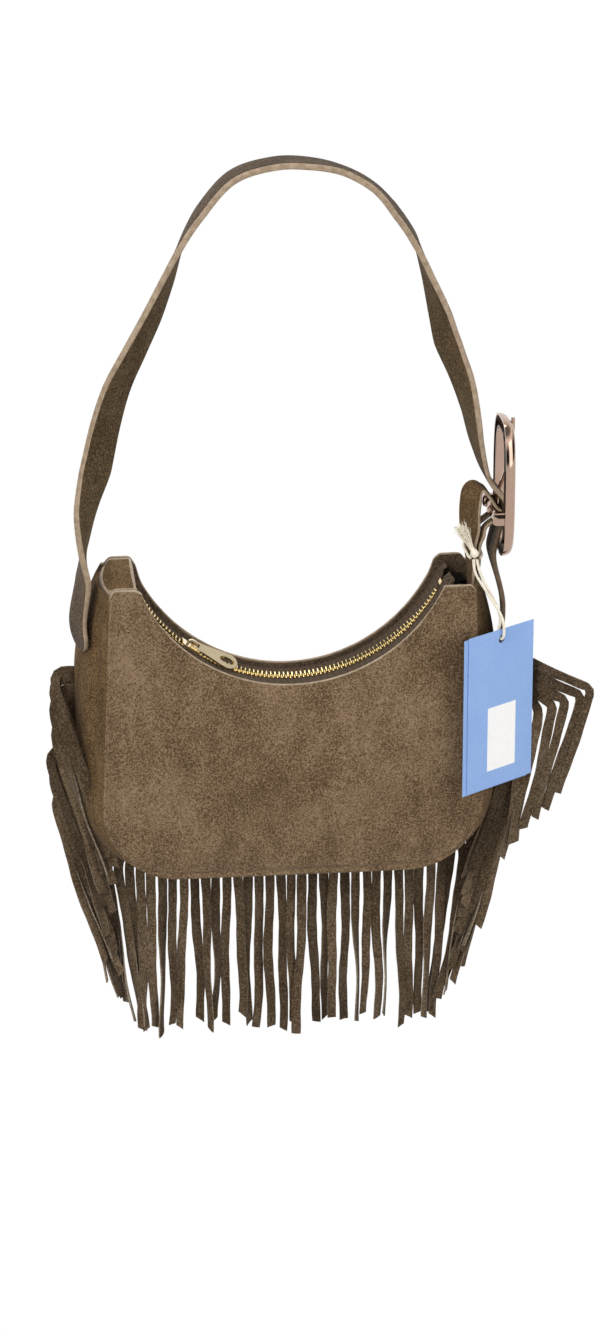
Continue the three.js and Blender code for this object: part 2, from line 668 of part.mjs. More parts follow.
// Each stop: x, z and how far the band is turned about its own run, in degrees
const STRAP_STOPS = [
  [STRAP_SEWN_X, STRAP_SEWN_BOTTOM, 18],
  [STRAP_SEWN_X - 2.6, STRAP_SEWN_BOTTOM + 18, 18],
  [STRAP_SEWN_X + 1.4, STRAP_SEWN_BOTTOM + 46, 12],
  [-128, 212, -10],
  [-126, 237, -34],
  [-120, 261, -52],
  [-112.6, 293, -48],
  [-105.6, 314.6, -44],
  [-95, 336, -38],
  [-84.5, 357, -32],
  [-75, 379, -22],
  [-66, 401, -8],
  [-53.5, 422, 0],
  [-34, 443, 0],
  [-9, STRAP_RISE + STRAP_THICKNESS / 2, 0],
  [9, STRAP_RISE + STRAP_THICKNESS / 2, 0],
  [31, 446, -3],
  [51, 435, 0],
  [64.5, 420, 6],
  [77, 401, 6],
  [85.5, 379, -6],
  [92.6, 357, -22],
  [98.4, 336, -32],
  [107, 314, -25],
  [113, 292, -14],
  [117, 272, -8],
  [BAR_X - 4, BAR_Z + 21, 0],
  [BAR_X + STRAP_OVER_BAR - 1, BAR_Z + 8, 0],
  [BAR_X + STRAP_OVER_BAR, BAR_Z, 0],
  [BAR_X + STRAP_OVER_BAR - 3.6, BAR_Z - 9, 0],
  [BAR_X + 0.4, BAR_Z - 18, 0],
  [BAR_X - 1, BAR_Z - 27, 0],
  [STRAP_TAIL_X, BAR_Z - 58, 6],
  [STRAP_TAIL_X, STRAP_TAIL_BOTTOM, 14],
];

function strapSections() {
  const curve = new THREE.CatmullRomCurve3(STRAP_STOPS.map(([x, z]) => vector(x, 0, z)), false, 'centripetal');
  const steps = [];
  STRAP_STOPS.forEach((stop, i) => {
    if (i === STRAP_STOPS.length - 1) {
      steps.push(i);
      return;
    }
    const next = STRAP_STOPS[i + 1];
    const span = Math.hypot(next[0] - stop[0], next[1] - stop[1]);
    const isCrown = next[1] === stop[1];
    const cuts = isCrown ? 1 : Math.max(2, Math.round(span / 20));
    for (let k = 0; k < cuts; k += 1) {
      steps.push(i + k / cuts);
    }
  });
  const tipShares = [0, 0.04, 0.12, 0.24, 0.4, 0.62];
  const last = STRAP_STOPS.length - 1;
  tipShares.slice(1).forEach((share) => {
    steps.push(share, last - share);
  });
  const ordered = [...new Set(steps)].sort((a, b) => a - b);
  return ordered.map((step) => {
    const i = Math.min(last - 1, Math.floor(step));
    const turn = radians(mix(STRAP_STOPS[i][2], STRAP_STOPS[i + 1][2], step - i));
    const centre = curve.getPoint(step / last);
    const along = curve.getTangent(step / last);
    const face = ACROSS.clone().cross(along).normalize();
    const widthWay = ACROSS.clone().applyAxisAngle(along, turn);
    const thickWay = face.clone().applyAxisAngle(along, turn);
    const toEnd = Math.min(centre.distanceTo(curve.getPoint(0)), centre.distanceTo(curve.getPoint(1)));
    const round = STRAP_WIDTH / 2;
    const short = Math.max(0, round - toEnd);
    const width = Math.max(5, 2 * Math.sqrt(round ** 2 - short ** 2));
    return bandSection(centre, widthWay, thickWay, width, STRAP_THICKNESS);
  });
}

function strap() {
  const slot = new THREE.BoxGeometry(16, PRONG_SLOT_WIDTH, PRONG_SLOT_LENGTH);
  slot.rotateY(radians(-28));
  slot.translate(BAR_X + STRAP_OVER_BAR - 3.2, 0, BAR_Z + 13);
  return fromSolid(toSolid(loft(strapSections())).subtract(toSolid(slot)));
}

// Tab: sewn inside the right gusset, up and over, round the bar and back down against itself
const TAB_SEWN_BOTTOM = BODY_HEIGHT - LINING_TOP_DROP + 2 * GAP;
const TAB_SEWN_X = gussetOutside(BODY_HEIGHT, gussetShare(-TAB_WIDTH / 2))
  - SUEDE - 2 * GAP - TAB_THICKNESS / 2;

function strapTab() {
  const wrap = BAR_RADIUS + GAP + TAB_THICKNESS / 2;
  const onWrap = (angle) => [BAR_X + wrap * Math.cos(radians(angle)), BAR_Z + wrap * Math.sin(radians(angle))];
  const stops = [
    [TAB_SEWN_X, TAB_SEWN_BOTTOM],
    [TAB_SEWN_X, BODY_HEIGHT],
    [TAB_SEWN_X - 0.5, BAR_Z - 22],
    [TAB_SEWN_X - 1, BAR_Z + 2],
    [TAB_SEWN_X + 1, BAR_Z + 12],
    [BAR_X - 8, BAR_Z + 14.5],
    onWrap(72),
    onWrap(35),
    onWrap(0),
    onWrap(-35),
    onWrap(-72),
    [BAR_X - 8, BAR_Z - 10.5],
    [TAB_SEWN_X + TAB_THICKNESS + 2.6 * GAP, BAR_Z - 19],
    [TAB_SEWN_X + TAB_THICKNESS + 2 * GAP, BODY_HEIGHT + 5],
  ];
  const curve = new THREE.CatmullRomCurve3(stops.map(([x, z]) => vector(x, 0, z)), false, 'centripetal');
  const steps = (stops.length - 1) * 3;
  const sections = [];
  for (let i = 0; i <= steps; i += 1) {
    const along = curve.getTangent(i / steps);
    const face = ACROSS.clone().cross(along).normalize();
    sections.push(flatSection(curve.getPoint(i / steps), ACROSS, face, TAB_WIDTH, TAB_THICKNESS));
  }
  const notch = new THREE.BoxGeometry(2 * TAB_WRAP_RADIUS + 6, PRONG_SLOT_WIDTH, 3.6 * TAB_WRAP_RADIUS);
  notch.translate(BAR_X + 2, 0, BAR_Z + 1.5);
  return fromSolid(toSolid(loft(sections)).subtract(toSolid(notch)));
}

// Buckle ring: a long oval of domed section with a hollow back, and two lugs that hold the bar
const LUG_HALF = BAR_RADIUS + 2;

function ringOval(angle, inset) {
  const halfY = RING_WIDTH / 2 - inset;
  const halfZ = RING_HEIGHT / 2 - inset;
  const power = (value) => Math.sign(value) * Math.abs(value) ** (2 / RING_SQUARENESS);
  return new THREE.Vector2(halfY * power(Math.cos(angle)), halfZ * power(Math.sin(angle)));
}

function buckleFrame() {
  const centreZ = (RING_TOP + RING_BOTTOM) / 2;
  const around = 36;
  const across = 4;
  const sections = [];
  for (let i = 0; i < around; i += 1) {
    const angle = (i / around) * Math.PI * 2;
    const section = [];
    const add = (share, rim, dome) => {
      const inset = RING_RIM / 2 - (rim / 2) * Math.cos(Math.PI * share);
      const point = ringOval(angle, inset);
      section.push(vector(RING_BACK_X + dome * Math.sin(Math.PI * share), point.x, centreZ + point.y));
    };
    for (let k = 0; k <= across; k += 1) {
      add(k / across, RING_RIM, RING_DOME);
    }
    for (let k = across; k >= 0; k -= 2) {
      add(k / across, RING_RIM - 2 * RING_WALL, RING_DOME - RING_WALL);
    }
    sections.push(section);
  }
  const ring = loft(sections, true);
  const lugs = [-1, 1].map((side) => {
    const depth = RING_BACK_X + RING_DOME * 0.6 - (BAR_X - LUG_HALF);
    const lug = new THREE.BoxGeometry(depth, RING_RIM * 0.62, 2 * LUG_HALF);
    return lug.translate(BAR_X - LUG_HALF + depth / 2, side * (RING_WIDTH - RING_RIM) / 2, BAR_Z);
  });
  const hole = new THREE.CylinderGeometry(BAR_RADIUS + GAP, BAR_RADIUS + GAP, RING_WIDTH, 16);
  hole.translate(BAR_X, 0, BAR_Z);
  return fromSolid(joined([ring, ...lugs]).subtract(toSolid(hole)));
}

function buckleBar() {
  const length = RING_WIDTH - RING_RIM * 0.6;
  return closed(new THREE.CylinderGeometry(BAR_RADIUS, BAR_RADIUS, length, 16).translate(BAR_X, 0, BAR_Z));
}

// Prong: a curl round the bar and an arm that leans on the outside of the upper rim
function buckleProng() {
  const curl = new THREE.Shape();
  curl.absarc(BAR_X, BAR_Z, BAR_RADIUS + GAP + 1.9, 0, Math.PI * 2, false);
  const bore = new THREE.Path();
  bore.absarc(BAR_X, BAR_Z, BAR_RADIUS + GAP, 0, Math.PI * 2, true);
  curl.holes.push(bore);
  const tipX = RING_BACK_X + RING_DOME + GAP + PRONG_THICKNESS / 2;
  const tipZ = RING_TOP - RING_RIM * 0.5;
  const arm = new THREE.CatmullRomCurve3([
    vector(BAR_X, 0, BAR_Z + BAR_RADIUS + 1.6),
    vector(BAR_X + 3, 0, BAR_Z + 12),
    vector(tipX - 3.4, 0, mix(BAR_Z, tipZ, 0.5)),
    vector(tipX, 0, tipZ - 4),
    vector(tipX, 0, tipZ + 3),
  ]);
  const sections = [];
  for (let i = 0; i <= 9; i += 1) {
    const along = arm.getTangent(i / 9);
    const face = ACROSS.clone().cross(along).normalize();
    const width = mix(PRONG_WIDTH, PRONG_WIDTH * 0.7, i / 9);
    sections.push(bandSection(arm.getPoint(i / 9), ACROSS, face, width, PRONG_THICKNESS, 0.5));
  }
  const ringPart = standUp(slab(curl, 0, PRONG_WIDTH, 12), PRONG_WIDTH);
  return fromSolid(joined([ringPart, loft(sections)]));
}

// Fringe: a heading sewn in the seam of back and gusset, cut into strips
function fringeShare(i) {
  const topShare = CORNER_END_SHARE
    + (1 - CORNER_END_SHARE) * (FRINGE_TOP_HEIGHT - CORNER_RADIUS) / (BODY_HEIGHT - CORNER_RADIUS);
  return mix(-topShare, topShare, i);
}

function headingSections() {
  const sections = [];
  for (let i = 0; i <= STRIP_COUNT; i += 1) {
    const s = fringeShare(i / STRIP_COUNT);
    const point = outline(s, 1);
    const normal = outlineNormal(s, 1);
    const outward = vector(normal.x, 0, normal.y);
    const centre = vector(point.x, FRINGE_Y, point.y)
      .addScaledVector(outward, (HEADING_OUTSIDE - HEADING_INSIDE) / 2);
    sections.push(flatSection(centre, outward, ACROSS, HEADING_INSIDE + HEADING_OUTSIDE, HEADING_THICKNESS));
  }
  return sections;
}

// Strips hang in three layers along the base. From halfway round the corners and up the sides each one
// hangs in front of the one below it.
function stripForward(i) {
  const pitch = (2 * fringeShare(1)) / STRIP_COUNT;
  const climbFrom = mix(STRAIGHT_BASE_SHARE, CORNER_END_SHARE, 0.5);
  const fromCorner = Math.abs(fringeShare((i + 0.5) / STRIP_COUNT)) - climbFrom;
  const climb = Math.max(0, Math.ceil(fromCorner / pitch));
  const layer = STRIP_THICKNESS + 2 * GAP;
  return climb ? 2 * layer + climb * (STRIP_THICKNESS + STRIP_CLEARANCE) : layer * ((2 * i) % 3);
}

// A strip leaves the heading square to the seam, bends over and hangs
function stripSections(i) {
  const s = fringeShare((i + 0.5) / STRIP_COUNT);
  const root = outline(s, 1);
  const normal = outlineNormal(s, 1);
  const outward = vector(normal.x, 0, normal.y);
  const fromRight = STRIP_COUNT - 1 - i;
  const splayed = s > 0 && fromRight < SPLAYED_STRIPS;
  const bend = splayed ? 96 - 7 * fromRight : 26 + 6 * Math.sin(i * 2.3);
  const lean = splayed ? -0.12 : -0.3 * normal.x + 0.03 * Math.sin(i * 1.7);
  const length = STRIP_LENGTH * (1 - 0.05 * Math.sin(i * 2.9) ** 2 - 0.03 * Math.abs(Math.sin(i * 0.7)));
  const forward = stripForward(i);
  const down = vector(lean, 0, -1);
  const point = vector(root.x, FRINGE_Y, root.y).addScaledVector(outward, 1);
  const sections = [];
  let run = 0;
  for (let k = 0; k <= STRIP_STEPS; k += 1) {
    const way = outward.clone().lerp(down, THREE.MathUtils.smoothstep(run, 0, bend)).normalize();
    const flat = ACROSS.clone().cross(way).normalize();
    const placed = point.clone();
    placed.y -= forward * THREE.MathUtils.smoothstep(run, STRIP_ROOT, STRIP_FORWARD_RUN);
    placed.x += 1.6 * Math.sin(i * 3.3 + k * 0.8) * (run / length);
    sections.push(flatSection(placed, flat, ACROSS, STRIP_WIDTH, STRIP_THICKNESS));
    const stride = k === 0 ? STRIP_ROOT : (length - STRIP_ROOT) / (STRIP_STEPS - 1);
    point.addScaledVector(way, stride);
    run += stride;
  }
  return sections;
}

function fringe() {
  const pieces = [loft(headingSections())];
  for (let i = 0; i < STRIP_COUNT; i += 1) {
    pieces.push(loft(stripSections(i)));
  }
  return fromSolid(wasm.Manifold.union(pieces.map(toSolid)));
}

// Swing tag: two cards on a string that is tied round the tab
const CARD_RIGHT = vector(Math.cos(radians(CARD_YAW)), Math.sin(radians(CARD_YAW)), 0);
const CARD_OUT = vector(Math.sin(radians(CARD_YAW)), -Math.cos(radians(CARD_YAW)), 0);
const BAG_CORNER = vector(FRONT_HALF_WIDTH, -HALF_DEPTH, 0);
const CARD_REACH = BAG_CORNER.dot(CARD_OUT) + CARD_CLEARANCE;
const CARD_MIDDLE_TOP = CARD_OUT.clone().multiplyScalar(CARD_REACH)
  .addScaledVector(CARD_RIGHT, CARD_ALONG)
  .addScaledVector(UP, CARD_TOP);

// Turns a shape drafted as seen, with y up from the card's top edge, onto the card
function onCard(shape, out, thickness) {
  const geometry = slab(shape, out, out + thickness, 10);
  const matrix = new THREE.Matrix4().makeBasis(CARD_RIGHT, UP, CARD_OUT);
  matrix.setPosition(CARD_MIDDLE_TOP);
  return closed(geometry.applyMatrix4(matrix));
}

function rectangle(width, height, left, top) {
  const shape = new THREE.Shape();
  shape.moveTo(left, top - height);
  shape.lineTo(left + width, top - height);
  shape.lineTo(left + width, top);
  shape.lineTo(left, top);
  return shape;
}

function cardShape(shift) {
  const shape = rectangle(CARD_WIDTH, CARD_HEIGHT, -CARD_WIDTH / 2 + shift, shift / 3);
  const hole = new THREE.Path();
  hole.absarc(0, -CARD_HOLE_DROP, CARD_HOLE_RADIUS, 0, Math.PI * 2, false);
  shape.holes.push(hole);
  return shape;
}

const BACKING_OUT = -CARD_THICKNESS - GAP;
const CARD_HOLE = CARD_MIDDLE_TOP.clone().addScaledVector(UP, -CARD_HOLE_DROP)
  .addScaledVector(CARD_OUT, (BACKING_OUT + CARD_THICKNESS) / 2);

// The wrap runs round both layers of the tab; the knot sits on its front, up and to the left
const TAB_LAYERS = 2 * TAB_THICKNESS + 2.6 * GAP;
const WRAP_X = TAB_SEWN_X - 0.5 + (TAB_LAYERS - TAB_THICKNESS) / 2;
const WRAP_REACH_X = TAB_LAYERS / 2 + STRING_RADIUS + 4 * GAP;
const WRAP_REACH_Y = TAB_WIDTH / 2 + STRING_RADIUS + 4 * GAP;
const WRAP_SLOPE = 1.5;
const KNOT = vector(
  WRAP_X - 1,
  -WRAP_REACH_Y - 2 * STRING_RADIUS - 2 * GAP,
  STRING_WRAP_HEIGHT - WRAP_SLOPE + STRING_RADIUS + GAP + KNOT_RADIUS * 0.75,
);

function tagStringWrap() {
  const points = [];
  const turns = 14;
  for (let k = 1; k < turns; k += 1) {
    const angle = -Math.PI / 2 + (k / turns) * Math.PI * 2;
    const round = (value) => Math.sign(value) * Math.abs(value) ** 0.4;
    points.push(vector(
      WRAP_X + WRAP_REACH_X * round(Math.cos(angle)),
      WRAP_REACH_Y * round(Math.sin(angle)),
      STRING_WRAP_HEIGHT + WRAP_SLOPE * Math.sin(angle),
    ));
  }
  return tube(points, STRING_RADIUS, 26);
}

function tagString() {
  const front = CARD_HOLE.clone().addScaledVector(CARD_OUT, HALF_CARDS_AND_STRING);
  const back = CARD_HOLE.clone().addScaledVector(CARD_OUT, -HALF_CARDS_AND_STRING);
  const points = [
    KNOT.clone().add(vector(-0.9, 0, -KNOT_RADIUS - KNOT_CLEARANCE)),
    KNOT.clone().add(vector(0.4, -1, -KNOT_RADIUS - 9)),
    front.clone().add(vector(-1, -0.4, 14)),
    front.clone().add(vector(0, 0, 2)),
    CARD_HOLE.clone(),
    back.clone().add(vector(0, 0, 2)),
    back.clone().add(vector(1, 0.6, 14)),
    KNOT.clone().add(vector(3.4, -0.4, -KNOT_RADIUS - 9)),
    KNOT.clone().add(vector(1.3, 0, -KNOT_RADIUS - KNOT_CLEARANCE)),
  ];
  return tube(points, STRING_RADIUS, 38);
}

function tagKnot() {
  const radius = KNOT_RADIUS;
  const profile = [
    [0, -radius], [radius * 0.8, -radius * 0.6], [radius, 0], [radius * 0.7, radius * 0.8],
    [radius * 0.5, radius * 1.2], [radius * 0.8, KNOT_LENGTH * 0.5], [radius * 1.3, KNOT_LENGTH - radius],
    [0, KNOT_LENGTH - radius * 0.6],
  ].map(([x, y]) => new THREE.Vector2(x, y));
  const knot = new THREE.LatheGeometry(profile, 10);
  knot.rotateX(Math.PI / 2);
  knot.rotateY(radians(KNOT_LEAN));
  return closed(knot.translate(KNOT.x, KNOT.y, KNOT.z));
}

// The whole bag
const suede = { color: 0x73644f, roughness: 0.95, metalness: 0 };
const finish = {
  suede,
  edge: { color: 0x8a7a63, roughness: 0.8, metalness: 0 },
  fringe: { color: 0x5f5344, roughness: 0.95, metalness: 0 },
  lining: { color: 0x2d2722, roughness: 0.9, metalness: 0 },
  tape: { color: 0x4c4137, roughness: 0.9, metalness: 0 },
  gold: { color: 0xd4b468, roughness: 0.25, metalness: 1 },
  roseGold: { color: 0xe6c3b0, roughness: 0.15, metalness: 1 },
  string: { color: 0xf2ead8, roughness: 0.9, metalness: 0 },
  card: { color: 0x7aa0da, roughness: 0.7, metalness: 0 },
  paper: { color: 0xfafafa, roughness: 0.6, metalness: 0 },
};

const bag = new THREE.Group();
bag.name = 'fringed_suede_bag';

function add(name, geometry, look) {
  const placed = geometry.translate(0, 0, -STRAP_RISE);
  placed.computeVertexNormals();
  const mesh = new THREE.Mesh(placed, new THREE.MeshStandardMaterial(look));
  mesh.name = name;
  bag.add(mesh);
}

add('front_panel', panel(-1, FRONT_BULGE, 28, 7), finish.suede);
add('back_panel', panel(1, BACK_BULGE, 28, 5), finish.suede);
add('gusset', gusset(), finish.suede);
add('lining', lining(), finish.lining);
add('zip_tape_front', zipTape(-1), finish.tape);
add('zip_tape_rear', zipTape(1), finish.tape);
add('zip_teeth_front', zipTeeth(-1), finish.gold);
add('zip_teeth_rear', zipTeeth(1), finish.gold);
add('zip_top_stop_front', zipTopStop(-1), finish.gold);
add('zip_top_stop_rear', zipTopStop(1), finish.gold);
add('zip_bottom_stop', zipBottomStop(), finish.gold);
add('zip_slider', zipSlider(), finish.gold);
add('zip_puller', zipPuller(), finish.gold);
add('strap', strap(), finish.edge);
add('strap_tab', strapTab(), finish.suede);
add('buckle_frame', buckleFrame(), finish.roseGold);
add('buckle_bar', buckleBar(), finish.roseGold);
add('buckle_prong', buckleProng(), finish.roseGold);
add('fringe', fringe(), finish.fringe);
add('tag_card', onCard(cardShape(0), 0, CARD_THICKNESS), finish.card);
add('tag_backing_card', onCard(cardShape(-BACKING_SHIFT), BACKING_OUT, CARD_THICKNESS), finish.card);
const stickerShape = rectangle(STICKER_WIDTH, STICKER_HEIGHT, -STICKER_WIDTH / 2 + 1, -50);
add('price_sticker', onCard(stickerShape, CARD_THICKNESS + STICKER_GAP, STICKER_THICKNESS), finish.paper);
add('tag_string_wrap', tagStringWrap(), finish.string);
add('tag_string', tagString(), finish.string);
add('tag_knot', tagKnot(), finish.string);

export default bag;
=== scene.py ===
import math

import bmesh
import bpy
import numpy as np
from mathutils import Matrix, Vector


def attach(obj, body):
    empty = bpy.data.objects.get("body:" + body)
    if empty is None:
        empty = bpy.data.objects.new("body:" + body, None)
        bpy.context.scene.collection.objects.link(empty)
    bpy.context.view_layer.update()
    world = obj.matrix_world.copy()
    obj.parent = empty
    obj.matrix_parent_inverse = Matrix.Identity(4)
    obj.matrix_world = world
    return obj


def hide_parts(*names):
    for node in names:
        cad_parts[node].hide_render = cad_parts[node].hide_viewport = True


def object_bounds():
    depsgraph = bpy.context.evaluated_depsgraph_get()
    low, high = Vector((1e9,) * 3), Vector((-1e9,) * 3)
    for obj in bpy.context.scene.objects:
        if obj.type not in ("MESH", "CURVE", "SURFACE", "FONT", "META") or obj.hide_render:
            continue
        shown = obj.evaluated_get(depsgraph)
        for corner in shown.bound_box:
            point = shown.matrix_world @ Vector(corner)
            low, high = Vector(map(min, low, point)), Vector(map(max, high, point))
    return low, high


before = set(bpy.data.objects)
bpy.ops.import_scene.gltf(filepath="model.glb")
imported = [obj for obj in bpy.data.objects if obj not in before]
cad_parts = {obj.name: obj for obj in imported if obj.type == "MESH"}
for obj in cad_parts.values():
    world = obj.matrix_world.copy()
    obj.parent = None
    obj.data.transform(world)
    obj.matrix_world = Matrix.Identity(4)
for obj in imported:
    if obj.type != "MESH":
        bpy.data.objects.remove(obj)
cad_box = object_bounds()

# Looks of a fringed suede shoulder bag. Shapes are drafted in millimetres above the base seam, as in
# the part's source, and placed in metres in the frame, whose origin is under the strap's crown.
MM = 0.001
CROWN_HEIGHT = 449

# Body
BODY_HEIGHT = 188
HALF_DEPTH = 25
FRONT_HALF_WIDTH = 120
FRONT_PEAK_HALF_WIDTH = 114
BACK_HALF_WIDTH = 134
BACK_PEAK_HALF_WIDTH = 116
BACK_SHOULDER_HEIGHT = 115
CORNER_RADIUS = 48
SUEDE = 1.6
FRONT_BULGE = 9
BACK_BULGE = 6
GUSSET_BULGE = 4
GAP = 0.3
STRAIGHT_BASE_SHARE = 0.25
CORNER_END_SHARE = 0.51

# Mouth and zip
MOUTH_HALF_WIDTH = 94
MOUTH_DIP = 60
MOUTH_DEPTH = 36
FRONT_LIP_DROP = 3
MOUTH_RADIUS = (MOUTH_HALF_WIDTH ** 2 + MOUTH_DIP ** 2) / (2 * MOUTH_DIP)
MOUTH_CENTRE_Z = BODY_HEIGHT - MOUTH_DIP + MOUTH_RADIUS
MOUTH_HALF_ANGLE = math.asin(MOUTH_HALF_WIDTH / MOUTH_RADIUS)
PEAK_COLUMNS = 1 / 14
LINING_TOP_DROP = 10.4
PEAK_FLAP_LENGTH = 17
PEAK_FLAP_BEND = 4
FLAP_SHARE = 0.1
FLAP_ROWS = 25
LEFT_PEAK_RISE = (4, 11)
RIGHT_PEAK_RISE = (0, 6)
ZIP_RADIUS = MOUTH_RADIUS + 4.2
ZIP_END = math.radians(62)
SLIDER_AT = math.radians(-36)
TOOTH_PITCH = 2.75
OPEN_HALF_GAP = 6
OPEN_SPREAD_LENGTH = 13.9
TAPE_INNER = 3.6
TAPE_PAST_LEFT = 2.5
TAPE_PAST_RIGHT = 10
CHAIN_HALF_WIDTH = 3.3
CHAIN_LEAN = 0.9
LEAN_FROM_SLIDER = (0.1, 0.25)
LEAN_FROM_END = (0.16, 0.34)
BEAD_MIDDLE = 2.2
BEAD_RADIUS = 0.75
BAIL_PIVOT = 4
PULLER_ROLL = math.radians(28)
PULLER_YAW = math.radians(8)
PULLER_RISE = 0.05

# Strap, tab and buckle
STRAP_WIDTH = 25
STRAP_THICKNESS = 3
EDGE_ROUND = 0.8
BAR_X = 128
BAR_Z = 229
BAR_RADIUS = 2
RING_HEIGHT = 88
RING_WIDTH = 50
RING_RIM = 8.5
RING_DOME = 6.5
RING_WALL = 1.3
LUG_WALL = 2
RING_BACK_X = 131.5
RING_SQUARENESS = 3.4
RING_BOTTOM = 201
RING_TOP = RING_BOTTOM + RING_HEIGHT
TAB_WIDTH = 22
TAB_THICKNESS = 2
TAB_SLIT = 5.2

# Fringe
FRINGE_TOP_HEIGHT = 128
FRINGE_Y = HALF_DEPTH - SUEDE - GAP - 0.55
GUSSET_FRONT_Y = -HALF_DEPTH + SUEDE + GAP
GUSSET_BACK_Y = FRINGE_Y - 0.55 - GAP
STRIP_COUNT = 78
STRIP_WIDTH = 6.1
STRIP_THICKNESS = 1
STRIP_LENGTH = 129
SPLAYED_STRIPS = 6
SPLAYED_BEND = 66
SPLAYED_BEND_STEP = 8.5
SPLAYED_DROOP = 0.3
STRIP_CLEARANCE = 0.35
STRIP_ROOT = 6
STRIP_FORWARD_RUN = 36

# Tag
CARD_YAW = math.radians(37)
CARD_CLEARANCE = 3
CARD_TOP = 157
CARD_ALONG = 92
CARD_HOLE_DROP = 6.5
HALF_CARDS_AND_STRING = 2.2
STRING_RADIUS = 0.9
STRING_TWIST = 1.1
KNOT_LEAN = math.radians(-28)
FIBRE_COUNT = 130


# Camera: from a little to the left and above, in metres
CAMERA_AZIMUTH = math.radians(-6.5)
CAMERA_ELEVATION = math.radians(19)
CAMERA_DISTANCE = 2.5
CAMERA_TARGET = Vector((0.007, 0, (130 - CROWN_HEIGHT) * MM))
LENS = 107.5


def place_camera():
    level = math.cos(CAMERA_ELEVATION)
    right, away = math.sin(CAMERA_AZIMUTH), math.cos(CAMERA_AZIMUTH)
    back = Vector((right * level, -away * level, math.sin(CAMERA_ELEVATION)))
    data = bpy.data.cameras.new("camera")
    data.lens = LENS
    data.sensor_width = 36
    camera = bpy.data.objects.new("camera", data)
    camera.location = CAMERA_TARGET + back * CAMERA_DISTANCE
    camera.rotation_euler = back.to_track_quat("Z", "Y").to_euler()
    bpy.context.collection.objects.link(camera)
    bpy.context.scene.camera = camera


place_camera()
bpy.context.scene.view_settings.view_transform = "Standard"


# Numbers and surfaces
def mix(a, b, share):
    return a + (b - a) * share


def smoothstep(value, low, high):
    share = np.clip((value - low) / (high - low), 0, 1)
    return share * share * (3 - 2 * share)


def ripple(a, b, seed, waves=7):
    """A smooth, seeded unevenness between about -1 and 1 over the plane (a, b)."""
    draw = np.random.default_rng(seed)
    total = np.zeros(np.broadcast(a, b).shape)
    for _ in range(waves):
        angle = draw.uniform(0, 2 * math.pi)
        pace = draw.uniform(0.6, 1.7)
        run = a * math.cos(angle) + b * math.sin(angle)
        total = total + np.sin(pace * run + draw.uniform(0, 2 * math.pi))
    return total / math.sqrt(waves)


def spline_point(points, share):
    """A point on the centripetal spline through points, at a share of the number of spans."""
    points = np.asarray(points, float)
    last = len(points) - 1
    place = min(max(share, 0), 1) * last
    i = min(last - 1, int(place))
    weight = place - i
    before = points[i - 1] if i > 0 else 2 * points[0] - points[1]
    after = points[i + 2] if i + 2 <= last else 2 * points[last] - points[last - 1]
    p1, p2 = points[i], points[i + 1]
    d0, d1, d2 = (math.sqrt(np.linalg.norm(q - p)) for p, q in ((before, p1), (p1, p2), (p2, after)))
    start = ((p1 - before) / d0 - (p2 - before) / (d0 + d1) + (p2 - p1) / d1) * d1
    end = ((p2 - p1) / d1 - (after - p1) / (d1 + d2) + (after - p2) / d2) * d1
    w = weight
    return (
        (2 * w ** 3 - 3 * w ** 2 + 1) * p1 + (w ** 3 - 2 * w ** 2 + w) * start
        + (3 * w ** 2 - 2 * w ** 3) * p2 + (w ** 3 - w ** 2) * end
    )


def spline_way(points, share):
    step = 1e-4
    way = spline_point(points, min(1, share + step)) - spline_point(points, max(0, share - step))
    return way / np.linalg.norm(way)


def turned(vector, axis, angle):
    """vector turned about axis by angle, in radians."""
    return (
        vector * math.cos(angle) + np.cross(axis, vector) * math.sin(angle)
        + axis * np.dot(axis, vector) * (1 - math.cos(angle))
    )


def unit(vector):
    return vector / np.linalg.norm(vector)


def unit_rows(vectors):
    return vectors / np.maximum(1e-9, np.linalg.norm(vectors, axis=-1, keepdims=True))


def round_about(count, offset=0.0):
    """Angles evenly spread round a circle."""
    return [(k + offset) / count * 2 * math.pi for k in range(count)]


def spoke(first, second, turn):
    """A unit spoke at this angle, in the plane of two unit vectors."""
    return first * math.cos(turn) + second * math.sin(turn)


def squared(turn, power):
    """Cosine and sine of an angle, drawn out towards the corners of a square by a power below 1."""
    x, y = math.cos(turn), math.sin(turn)
    return np.sign(x) * abs(x) ** power, np.sign(y) * abs(y) ** power


# Meshes
def to_frame(points):
    placed = np.array(points, float) * MM
    placed[..., 2] -= CROWN_HEIGHT * MM
    return placed


